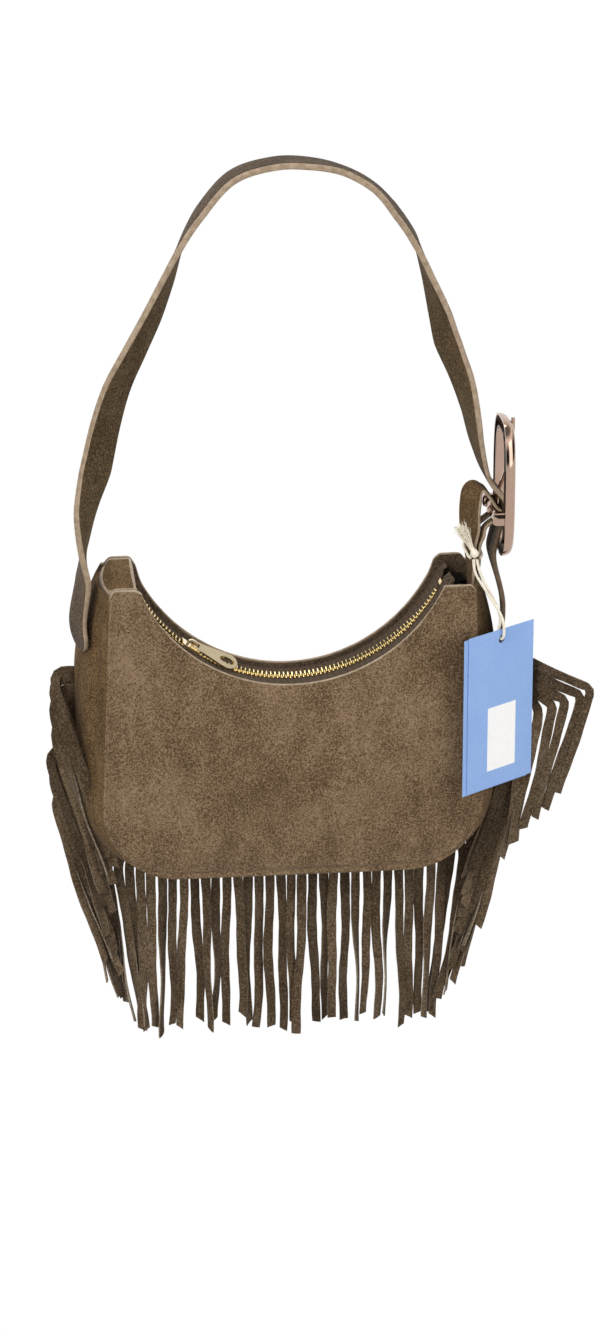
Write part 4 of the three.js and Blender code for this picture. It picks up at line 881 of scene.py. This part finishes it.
def band_ring(centre, width_way, thick_way, width, thickness):
    """A band's section: flat faces with rounded, painted edges."""
    w, t = width / 2, thickness / 2
    corners = []
    for side in (1, -1):
        for k in range(7):
            turn = math.radians(-90 * side + 30 * k)
            corners.append((side * (w - EDGE_ROUND) + EDGE_ROUND * math.cos(turn), t * math.sin(turn)))
        for share, crown in ((0.5, 0.05), (0, 0.08), (-0.5, 0.05)):
            corners.append((side * w * share, side * (t + crown)))
    return [centre + width_way * a + thick_way * b for a, b in corners]


def make_strap():
    points = np.array([(x, 0, z) for x, z, _ in STRAP_STOPS], float)
    last = len(points) - 1
    near_ends = [step for near in (0.04, 0.1, 0.2, 0.35) for step in (near, last - near)]
    shares = sorted(set(np.linspace(0, 1, 360)) | {step / last for step in near_ends})
    sections = []
    ends = spline_point(points, 0), spline_point(points, 1)
    for share in shares:
        centre = spline_point(points, share)
        way = spline_way(points, share)
        i = min(last - 1, int(share * last))
        turn = math.radians(mix(STRAP_STOPS[i][2], STRAP_STOPS[i + 1][2], share * last - i))
        width_way = turned(ACROSS, way, turn)
        thick_way = turned(unit(np.cross(ACROSS, way)), way, turn)
        to_end = min(np.linalg.norm(centre - end) for end in ends)
        short = max(0, STRAP_WIDTH / 2 - to_end)
        width = max(5, 2 * math.sqrt((STRAP_WIDTH / 2) ** 2 - short ** 2))
        from_buckle = math.dist(centre, (BAR_X + OVER_BAR, 0, BAR_Z))
        free = float(smoothstep(to_end, 14, 60) * smoothstep(from_buckle, 26, 70))
        sections.append(band_ring(centre, width_way, thick_way, width, STRAP_THICKNESS - 0.2 + 1.1 * free))
    edge, face_a, face_b = 2, 0, 1
    looks = [edge] * 6 + [face_a] * 4 + [edge] * 6 + [face_b] * 4
    build = Build()
    build.tube(sections, looks)
    for i, share in enumerate(shares[:-1]):
        if share * last > last - 5:
            row = slice(i * len(looks), (i + 1) * len(looks))
            build.looks[row] = [3 if look == edge else face_b for look in looks]
    materials = [STRAP_OUTER, STRAP_INNER, STRAP_EDGE, TAIL_EDGE_AND_CREASE_SHADE]
    return build.finish("strap_band", "bag", materials, ["strap"])


def make_tab():
    sewn_bottom = BODY_HEIGHT - LINING_TOP_DROP + 2 * GAP
    share = (-TAB_WIDTH / 2 - GUSSET_FRONT_Y) / (GUSSET_BACK_Y - GUSSET_FRONT_Y)
    sewn_x = float(half_width(BODY_HEIGHT, share)) + GUSSET_BULGE * math.sin(math.pi * share)
    sewn_x += -SUEDE - 2 * GAP - TAB_THICKNESS / 2
    wrap = BAR_RADIUS + GAP + TAB_THICKNESS / 2

    def on_wrap(degrees):
        turn = math.radians(degrees)
        return (BAR_X + wrap * math.cos(turn), BAR_Z + wrap * math.sin(turn))

    stops = [
        (sewn_x, sewn_bottom), (sewn_x, BODY_HEIGHT), (sewn_x - 0.5, BAR_Z - 22), (sewn_x - 1, BAR_Z + 2),
        (sewn_x + 1, BAR_Z + 12), (BAR_X - 8, BAR_Z + 14.5), on_wrap(72), on_wrap(35), on_wrap(0),
        on_wrap(-35), on_wrap(-72), (BAR_X - 8, BAR_Z - 10.5),
        (sewn_x + TAB_THICKNESS + 2.6 * GAP, BAR_Z - 19), (sewn_x + TAB_THICKNESS + 2 * GAP, BODY_HEIGHT + 5),
    ]
    points = np.array([(x, 0, z) for x, z in stops], float)
    build = Build()
    edge, face = 1, 0
    looks = [edge] * 6 + [face] * 4 + [edge] * 6 + [face] * 4
    # The loop is slit for the prong, so it goes round the bar as two narrow bands
    spans = [(0.0, 0.40, 0, TAB_WIDTH), (0.40, 0.86, -1, 0), (0.40, 0.86, 1, 0), (0.86, 1.0, 0, TAB_WIDTH)]
    for first, end, side, width in spans:
        sections = []
        for share in np.linspace(first, end, 60):
            way = spline_way(points, share)
            centre = spline_point(points, share)
            turn = 8 * smoothstep(centre[2], BODY_HEIGHT, BODY_HEIGHT + 12)
            turn += 18 * smoothstep(centre[2], 207, 220)
            turn = float(turn * (1 - smoothstep(centre[0], BAR_X - 12, BAR_X - 5)))
            width_way = turned(ACROSS, UPWARD, math.radians(turn))
            width_way = unit(width_way - way * np.dot(width_way, way))
            thick_way = unit(np.cross(width_way, way))
            if side:
                width = (TAB_WIDTH - TAB_SLIT) / 2
                centre = centre + width_way * side * (TAB_SLIT + width) / 2
            sections.append(band_ring(centre, width_way, thick_way, width, TAB_THICKNESS - 0.1))
        build.tube(sections, looks)
    return build.finish("tab_loop", "bag", [GUSSET_SUEDE, MOUTH_EDGE], ["strap_tab"])


# Buckle ring: a long oval of domed section with a hollow back, and two lugs that hold the bar
def ring_oval(turn, inset):
    y, z = squared(turn, 2 / RING_SQUARENESS)
    return (RING_WIDTH / 2 - inset) * y, (RING_HEIGHT / 2 - inset) * z


def even_turns(count, inset):
    """Angles that lie evenly along the ring, which the oval's own angle doesn't."""
    fine = np.linspace(0, 2 * math.pi, 4001)
    places = np.array([ring_oval(turn, inset) for turn in fine])
    run = np.concatenate([[0], np.cumsum(np.linalg.norm(np.diff(places, axis=0), axis=1))])
    return np.interp(np.linspace(0, run[-1], count, endpoint=False), run, fine)


def make_ring():
    centre_z = (RING_TOP + RING_BOTTOM) / 2
    build = Build()
    sections = []
    for turn in even_turns(150, RING_RIM / 2):
        ring = []
        for rim, dome, shares in (
            (RING_RIM, RING_DOME, np.linspace(0, 1, 17)),
            (RING_RIM - 2 * RING_WALL, RING_DOME - RING_WALL, np.linspace(1, 0, 9)),
        ):
            for share in shares:
                y, z = ring_oval(turn, RING_RIM / 2 - rim / 2 * math.cos(math.pi * share))
                ring.append((RING_BACK_X + dome * math.sin(math.pi * share) ** 0.85, y, centre_z + z))
        sections.append(ring)
    sections.append(sections[0])
    # The hollow back's faces take the darker metal, painted shade in the hollow
    build.grid(np.array(sections), look=[0] * 16 + [1] * 9 + [0], closed=True)
    lug_back = BAR_X - BAR_RADIUS - LUG_WALL
    half_depth = (RING_BACK_X + RING_DOME * 0.6 - lug_back) / 2
    for side in (-1, 1):
        rings = []
        for y, shrink in ((-2.6, 0.82), (-2.2, 1.0), (2.2, 1.0), (2.6, 0.82)):
            ring = []
            for turn in round_about(24):
                out, up = squared(turn, 0.5)
                x = lug_back + half_depth + shrink * half_depth * out
                z = BAR_Z + shrink * (BAR_RADIUS + LUG_WALL) * up
                ring.append((x, side * (RING_WIDTH - RING_RIM) / 2 + y, z))
            rings.append(ring)
        build.tube(rings)
    materials = [ROSE_GOLD, BUCKLE_HOLLOW_PAINTED_SHADE]
    return build.finish("ring_plate", "buckle", materials, ["buckle_frame"], merge=True)


# Fringe: a heading in the seam, and strips that bend over and hang, each twisted a little differently
def make_fringe():
    climb = (FRINGE_TOP_HEIGHT - CORNER_RADIUS) / (BODY_HEIGHT - CORNER_RADIUS)
    top_share = mix(CORNER_END_SHARE, 1, climb)
    build = Build()
    s = np.linspace(-top_share, top_share, 220)
    point = outline(s, 1.0)
    normal = outline_normal(s, 1.0)
    outward = np.stack([normal[:, 0], 0 * s, normal[:, 1]], -1)
    centre = np.stack([point[:, 0], FRINGE_Y + 0 * s, point[:, 1]], -1)
    rings = [
        [c + o * a + ACROSS * b for a, b in ((-3, -0.5), (4, -0.5), (4, 0.5), (-3, 0.5))]
        for c, o in zip(centre, outward)
    ]
    build.tube(rings)
    draw = np.random.default_rng(7)
    for i in range(STRIP_COUNT):
        strip_path(build, i, top_share, draw)
    return build.finish("fringe_strips", "bag", [FRINGE_SUEDE, CUT_EDGE, FRINGE_FLESH], ["fringe"])


def strip_forward(i, s, top_share):
    """How far a strip hangs forward: three layers along the base, and a step for each one up the sides."""
    climb_from = mix(STRAIGHT_BASE_SHARE, CORNER_END_SHARE, 0.5)
    climb = max(0, math.ceil((abs(s) - climb_from) * STRIP_COUNT / (2 * top_share)))
    layer = STRIP_THICKNESS + 2 * GAP
    return 2 * layer + climb * (STRIP_THICKNESS + STRIP_CLEARANCE) if climb else layer * ((2 * i) % 3)


def strip_hang(i, from_right, splayed, normal, loose, draw):
    """Where a strip starts to bend over, how far it leans sideways, and its length."""
    length = STRIP_LENGTH * (1 - 0.05 * math.sin(i * 2.9) ** 2 - 0.03 * abs(math.sin(i * 0.7)))
    if splayed:
        bend = SPLAYED_BEND - SPLAYED_BEND_STEP * from_right
        return bend, -0.3 + 0.03 * from_right, length * (1.04 - 0.02 * from_right)
    bend = 19 + 4 * math.sin(i * 2.3) + draw.uniform(-3, 3) * loose
    lean = -0.3 * normal[0] + 0.02 * math.sin(i * 1.7) + draw.uniform(-0.015, 0.015)
    return bend, lean, length * draw.uniform(0.95, 1.02)


def strip_path(build, i, top_share, draw):
    """One strip: out from the seam, over, and down, with its own twist, waves and slanted end."""
    s = mix(-top_share, top_share, (i + 0.5) / STRIP_COUNT)
    root = outline(s, 1.0)
    normal = outline_normal(s, 1.0)
    height = max(0.0, root[1]) / FRINGE_TOP_HEIGHT
    from_right = STRIP_COUNT - 1 - i
    splayed = s > 0 and from_right < SPLAYED_STRIPS
    loose = float(smoothstep(height, 0.05, 0.4))
    bend, lean, length = strip_hang(i, from_right, splayed, normal, loose, draw)
    fold_length = 13 if splayed else 22
    twist = (0.4 * math.sin(i * 1.9) + 0.3 * math.sin(i * 4.1)) * (1 - min(0.7, 5 * height))
    if draw.uniform(0, 1) < 0.22 and not splayed:
        twist += draw.choice([-1, 1]) * draw.uniform(0.8, 1.5)
    forward = strip_forward(i, s, top_share)
    steps = 40
    stride = length / steps
    outward = np.array([normal[0], 0, normal[1]])
    point = np.array([root[0], FRINGE_Y, root[1]]) + outward
    down = np.array([lean, 0, -1])
    wave, curl, wander = draw.uniform(0, 2 * math.pi, 3)
    cupped = draw.uniform(-0.9, 0.9)
    taper = draw.uniform(0.72, 1.0)
    slant = draw.uniform(-4.5, 4.5)
    tone = draw.uniform(0, 1)
    drift = draw.uniform(0.6, 2.4)
    sections = []
    marks = []
    for k in range(steps + 1):
        share = k / steps
        run = k * stride
        bent = float(smoothstep(run, max(0, bend - fold_length), bend)) * (1 - 0.14 * splayed)
        droop = SPLAYED_DROOP * float(smoothstep(run, 0, 0.6 * bend)) if splayed else 0
        way = unit(mix(outward, down, min(1, bent + droop)))
        flat = unit(np.cross(ACROSS, way))
        turn = (twist + 0.35 * math.sin(curl + 3.2 * share)) * float(smoothstep(share, 0.08, 0.8))
        width_way = turned(flat, way, turn)
        thick_way = turned(ACROSS, way, turn)
        placed = point.copy()
        placed[1] -= forward * float(smoothstep(run, STRIP_ROOT, STRIP_FORWARD_RUN))
        placed[1] += 1.2 * math.sin(wave + 7 * share) * share
        placed[0] += drift * math.sin(i * 3.3 + share * 4.2) * share
        placed[0] += 0.8 * math.sin(wander + 11 * share) * share
        ragged = 0.06 * math.sin(wander + 9 * share) + 0.035 * math.sin(wave + 41 * share)
        width = STRIP_WIDTH * mix(1, taper, share ** 1.4) * (1 - ragged * float(smoothstep(share, 0.03, 0.2)))
        cup = cupped * float(smoothstep(share, 0.1, 0.6))
        end = slant * (share ** 16)
        ring = []
        for a, b in (
            (-0.5, -0.5), (-0.25, -0.5), (0, -0.5), (0.25, -0.5), (0.5, -0.5),
            (0.5, 0.5), (0.25, 0.5), (0, 0.5), (-0.25, 0.5), (-0.5, 0.5),
        ):
            lift = cup * (4 * a * a - 0.5)
            beside = width_way * width * a + way * end * a
            ring.append(placed + beside + thick_way * (b * STRIP_THICKNESS + lift))
        sections.append(ring)
        marks.append([(tone, share)] * len(ring))
        point = point + way * stride
    looks = [0, 0, 0, 0, 1, 2, 2, 2, 2, 1]
    build.tube(sections, looks, uv=np.array(marks))


# Swing tag
def dressed(node, material, width=0.0, segments=2):
    """A CAD node that keeps its shape, with its finish and softened edges."""
    soften(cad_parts[node], material, width, segments)


def soften(obj, material, width, segments):
    obj.data.materials.clear()
    obj.data.materials.append(material)
    if width:
        bevel = obj.modifiers.new("soft_edges", "BEVEL")
        bevel.width = width * MM
        bevel.segments = segments
        bevel.limit_method = "ANGLE"
        bevel.angle_limit = math.radians(40)
        bevel.harden_normals = False


def make_puller():
    """The puller has play on the bail: it lies rolled and turned towards the front, its end raised."""
    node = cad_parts["zip_puller"]
    mesh = node.data.copy()
    pivot = to_frame(on_zip(np.array(SLIDER_AT), 0, BAIL_PIVOT))
    places = np.array([node.matrix_world @ vertex.co for vertex in mesh.vertices])
    axis = places.mean(axis=0) - pivot
    axis[1] = 0
    axis = unit(axis)
    up = np.cross(axis, ACROSS)
    up = up * np.sign(up[2])
    for vertex, place in zip(mesh.vertices, places):
        rolled = turned(place - pivot, axis, PULLER_ROLL)
        moved = turned(rolled, up, -PULLER_YAW) + up * PULLER_RISE * np.dot(rolled, axis)
        vertex.co = Vector(pivot + moved)
    obj = bpy.data.objects.new("puller_plate", mesh)
    bpy.context.collection.objects.link(obj)
    soften(obj, PALE_GOLD, 0.3, 3)
    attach(obj, "puller")
    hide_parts("zip_puller")


# String route in the part's millimetres: from the knot to the cards' hole and back
WRAP_MIDDLE_X = 115.25
WRAP_HEIGHT = 203
KNOT = np.array([114.25, -15.5, 204.95])


def card_axes():
    right = np.array([math.cos(CARD_YAW), math.sin(CARD_YAW), 0])
    out = np.array([math.sin(CARD_YAW), -math.cos(CARD_YAW), 0])
    return right, out


def string_route():
    right, out = card_axes()
    reach = np.dot(np.array([FRONT_HALF_WIDTH, -HALF_DEPTH, 0]), out) + CARD_CLEARANCE
    hole = out * (reach - GAP / 2) + right * CARD_ALONG + UPWARD * (CARD_TOP - CARD_HOLE_DROP)
    front, back = hole + out * HALF_CARDS_AND_STRING, hole - out * HALF_CARDS_AND_STRING
    add = np.array
    return [
        KNOT + add([-0.9, 0, -3.5]), KNOT + add([0.4, -1, -12]), front + add([-1, -0.4, 14]),
        front + add([0, 0, 2]), hole, back + add([0, 0, 2]), back + add([1, 0.6, 14]),
        KNOT + add([3.4, -0.4, -12]), KNOT + add([1.3, 0, -3.5]),
    ]


def wrap_route():
    """Round the strap and the tab, from one side of the knot to the other."""
    reach_x, reach_y = 4.49, 13.1
    points = []
    for turn in round_about(14, -3.5)[1:]:
        x, y = squared(turn, 0.4)
        z = WRAP_HEIGHT + 1.5 * math.sin(turn)
        points.append(np.array([WRAP_MIDDLE_X + reach_x * x, reach_y * y, z]))
    return points


def make_string(name, route, node, steps):
    """A three-ply twisted string along the route."""
    points = np.array(route)
    path = [spline_point(points, share) for share in np.linspace(0, 1, steps)]
    sections = []
    side = np.array([1.0, 0.3, 0.2])
    run = 0.0
    for k, centre in enumerate(path):
        way = spline_way(points, k / (steps - 1))
        side = unit(side - way * np.dot(side, way))
        other = np.cross(way, side)
        if k:
            run += np.linalg.norm(centre - path[k - 1])
        ring = []
        for turn in round_about(18):
            radius = STRING_RADIUS * (0.86 + 0.14 * abs(math.cos(1.5 * (turn - run * STRING_TWIST))))
            ring.append(centre + radius * spoke(side, other, turn))
        sections.append(ring)
    build = Build()
    build.tube(sections)
    body = "tag" if node == "tag_string" else "bag"
    obj = build.finish(name, body, [COTTON], [node])
    placed = to_frame(np.array(path))
    return obj


def make_knot():
    """The string's two ends, knotted and frayed into a brush of fibres."""
    build = Build()
    draw = np.random.default_rng(11)
    axis = np.array([math.sin(KNOT_LEAN), 0, math.cos(KNOT_LEAN)])
    side = unit(np.cross(axis, ACROSS))
    sections = []
    heights = (-2.1, -1.8, -0.9, 0.2, 1.6, 2.8, 3.8, 4.6)
    radii = (0.6, 1.6, 2.5, 2.8, 2.5, 1.8, 1.5, 1.6)
    for z, radius in zip(heights, radii):
        ring = []
        for turn in round_about(40):
            bulge = 1 + 0.1 * math.sin(3 * turn + z * 1.8)
            ring.append(KNOT + axis * z + radius * bulge * spoke(side, ACROSS, turn))
        sections.append(ring)
    build.tube(sections)
    for _ in range(FIBRE_COUNT):
        turn, spread = draw.uniform(0, 2 * math.pi), draw.uniform(0.1, 1.0) ** 0.5
        out = spoke(side, ACROSS, turn)
        length = draw.uniform(12, 19)
        sway = draw.uniform(-1.6, 1.6)
        fibre = []
        for k in range(8):
            share = k / 7
            centre = KNOT + axis * (3.6 + length * share) + out * spread * (1.3 + 2.6 * share ** 1.3)
            centre = centre + side * sway * share ** 2
            thick = 0.2 * (1 - 0.45 * share)
            fibre.append([centre + thick * spoke(side, ACROSS, angle) for angle in round_about(4)])
        build.tube(fibre)
    return build.finish("frayed_knot", "bag", [COTTON], ["tag_knot"])


# The cords come first
knot = make_knot()
string = make_string(
    "string_loop", string_route(), "tag_string", 150,
)
wrap = make_string("string_wrap", wrap_route(), "tag_string_wrap", 110)

make_panel("front_face", -1, FRONT_BULGE, 3, FRONT_SUEDE, "front_panel")
make_panel("back_face", 1, BACK_BULGE, 5, BACK_SUEDE, "back_panel")
make_gusset()
make_lining()
make_tape(-1, "zip_tape_front")
make_tape(1, "zip_tape_rear")
make_teeth(-1, "zip_teeth_front")
make_teeth(1, "zip_teeth_rear")
make_strap()
make_tab()
make_ring()
make_fringe()

for stop in ("zip_top_stop_front", "zip_top_stop_rear", "zip_bottom_stop"):
    dressed(stop, GOLD, 0.4, 3)
dressed("zip_slider", PALE_GOLD, 0.25, 3)
make_puller()
dressed("buckle_bar", ROSE_GOLD, 0.3, 3)
dressed("buckle_prong", ROSE_GOLD, 0.3, 3)
dressed("tag_card", CARD, 0.12)
dressed("tag_backing_card", CARD, 0.12)
dressed("price_sticker", STICKER, 0.04)


# Studio: a white backdrop that the camera sees as plain white, and soft lights
def any_ray(nodes, links, *kinds):
    """Whether a ray is of one of these kinds."""
    rays = nodes.new("ShaderNodeLightPath")
    found = rays.outputs[kinds[0]]
    for kind in kinds[1:]:
        either = nodes.new("ShaderNodeMath")
        either.operation = "MAXIMUM"
        links.new(found, either.inputs[0])
        links.new(rays.outputs[kind], either.inputs[1])
        found = either.outputs[0]
    return found


def pick_shader(nodes, links, picked, usual, special):
    """The usual shader, or the special one where picked."""
    pick = nodes.new("ShaderNodeMixShader")
    links.new(picked, pick.inputs[0])
    links.new(usual, pick.inputs[1])
    links.new(special, pick.inputs[2])
    return pick.outputs[0]


def light_world():
    """Soft light all round; polished metal mirrors a darker room that is white behind the bag."""
    world = bpy.data.worlds.new("studio")
    bpy.context.scene.world = world
    world.use_nodes = True
    nodes, links = world.node_tree.nodes, world.node_tree.links
    soft = nodes["Background"]
    soft.inputs["Color"].default_value = (1.0, 0.985, 0.965, 1)
    soft.inputs["Strength"].default_value = 0.62
    white = nodes.new("ShaderNodeBackground")
    white.inputs["Color"].default_value = (1, 1, 1, 1)
    room = nodes.new("ShaderNodeBackground")
    place = nodes.new("ShaderNodeTexCoord")
    parts = nodes.new("ShaderNodeSeparateXYZ")
    shade = nodes.new("ShaderNodeMapRange")
    ramp = nodes.new("ShaderNodeValToRGB")
    shade.inputs["From Min"].default_value = -1
    levels = ((0.0, 0.35), (0.38, 0.16), (0.48, 0.02), (0.57, 0.04), (0.66, 0.9), (0.76, 1.6), (0.88, 0.25))
    while len(ramp.color_ramp.elements) < len(levels):
        ramp.color_ramp.elements.new(0.5)
    for element, (at, level) in zip(ramp.color_ramp.elements, levels):
        element.position = at
        element.color = (level, 0.98 * level, 0.96 * level, 1)
    links.new(place.outputs["Generated"], parts.inputs[0])
    links.new(parts.outputs["Z"], shade.inputs["Value"])
    links.new(shade.outputs["Result"], ramp.inputs["Fac"])
    backdrop = nodes.new("ShaderNodeMapRange")
    backdrop.inputs["From Min"].default_value = 0.15
    backdrop.inputs["From Max"].default_value = 0.75
    links.new(parts.outputs["Y"], backdrop.inputs["Value"])
    whole = nodes.new("ShaderNodeMixRGB")
    whole.inputs["Color2"].default_value = (1.1, 1.09, 1.07, 1)
    links.new(backdrop.outputs["Result"], whole.inputs["Fac"])
    links.new(ramp.outputs["Color"], whole.inputs["Color1"])
    links.new(whole.outputs["Color"], room.inputs["Color"])
    glossy = any_ray(nodes, links, "Is Glossy Ray")
    straight = any_ray(nodes, links, "Is Camera Ray", "Is Transmission Ray")
    around = pick_shader(nodes, links, glossy, soft.outputs[0], room.outputs[0])
    seen = pick_shader(nodes, links, straight, around, white.outputs[0])
    links.new(seen, nodes["World Output"].inputs["Surface"])


def make_floor():
    mesh = bpy.data.meshes.new("floor")
    half, level = 3.0, cad_box[0][2] - 0.012
    corners = ((-half, -half), (half, -half), (half, half), (-half, half))
    mesh.from_pydata([(x, y, level) for x, y in corners], [], [(0, 1, 2, 3)])
    floor = bpy.data.objects.new("floor", mesh)
    bpy.context.collection.objects.link(floor)
    material = bpy.data.materials.new("pale_floor")
    material.use_nodes = True
    nodes, links = material.node_tree.nodes, material.node_tree.links
    shader = nodes["Principled BSDF"]
    shader.inputs["Base Color"].default_value = (0.55, 0.55, 0.55, 1)
    shader.inputs["Roughness"].default_value = 0.9
    white = nodes.new("ShaderNodeEmission")
    straight = any_ray(nodes, links, "Is Camera Ray", "Is Glossy Ray", "Is Transmission Ray")
    seen = pick_shader(nodes, links, straight, shader.outputs[0], white.outputs[0])
    links.new(seen, nodes["Material Output"].inputs["Surface"])
    mesh.materials.append(material)


def add_light(name, place, aim, size, power, colour=(1, 1, 1)):
    data = bpy.data.lights.new(name, "AREA")
    data.size = size
    data.energy = power
    data.color = colour
    light = bpy.data.objects.new(name, data)
    light.location = place
    light.rotation_euler = (Vector(place) - Vector(aim)).to_track_quat("Z", "Y").to_euler()
    bpy.context.collection.objects.link(light)


light_world()
make_floor()
middle = (0, 0, -0.33)
add_light("key", (-1.0, -1.5, 0.8), middle, 1.0, 22, (1, 0.98, 0.95))
add_light("fill", (1.5, -1.3, 0.1), middle, 1.2, 11)
add_light("top", (0.1, 0.3, 1.3), middle, 0.9, 10)
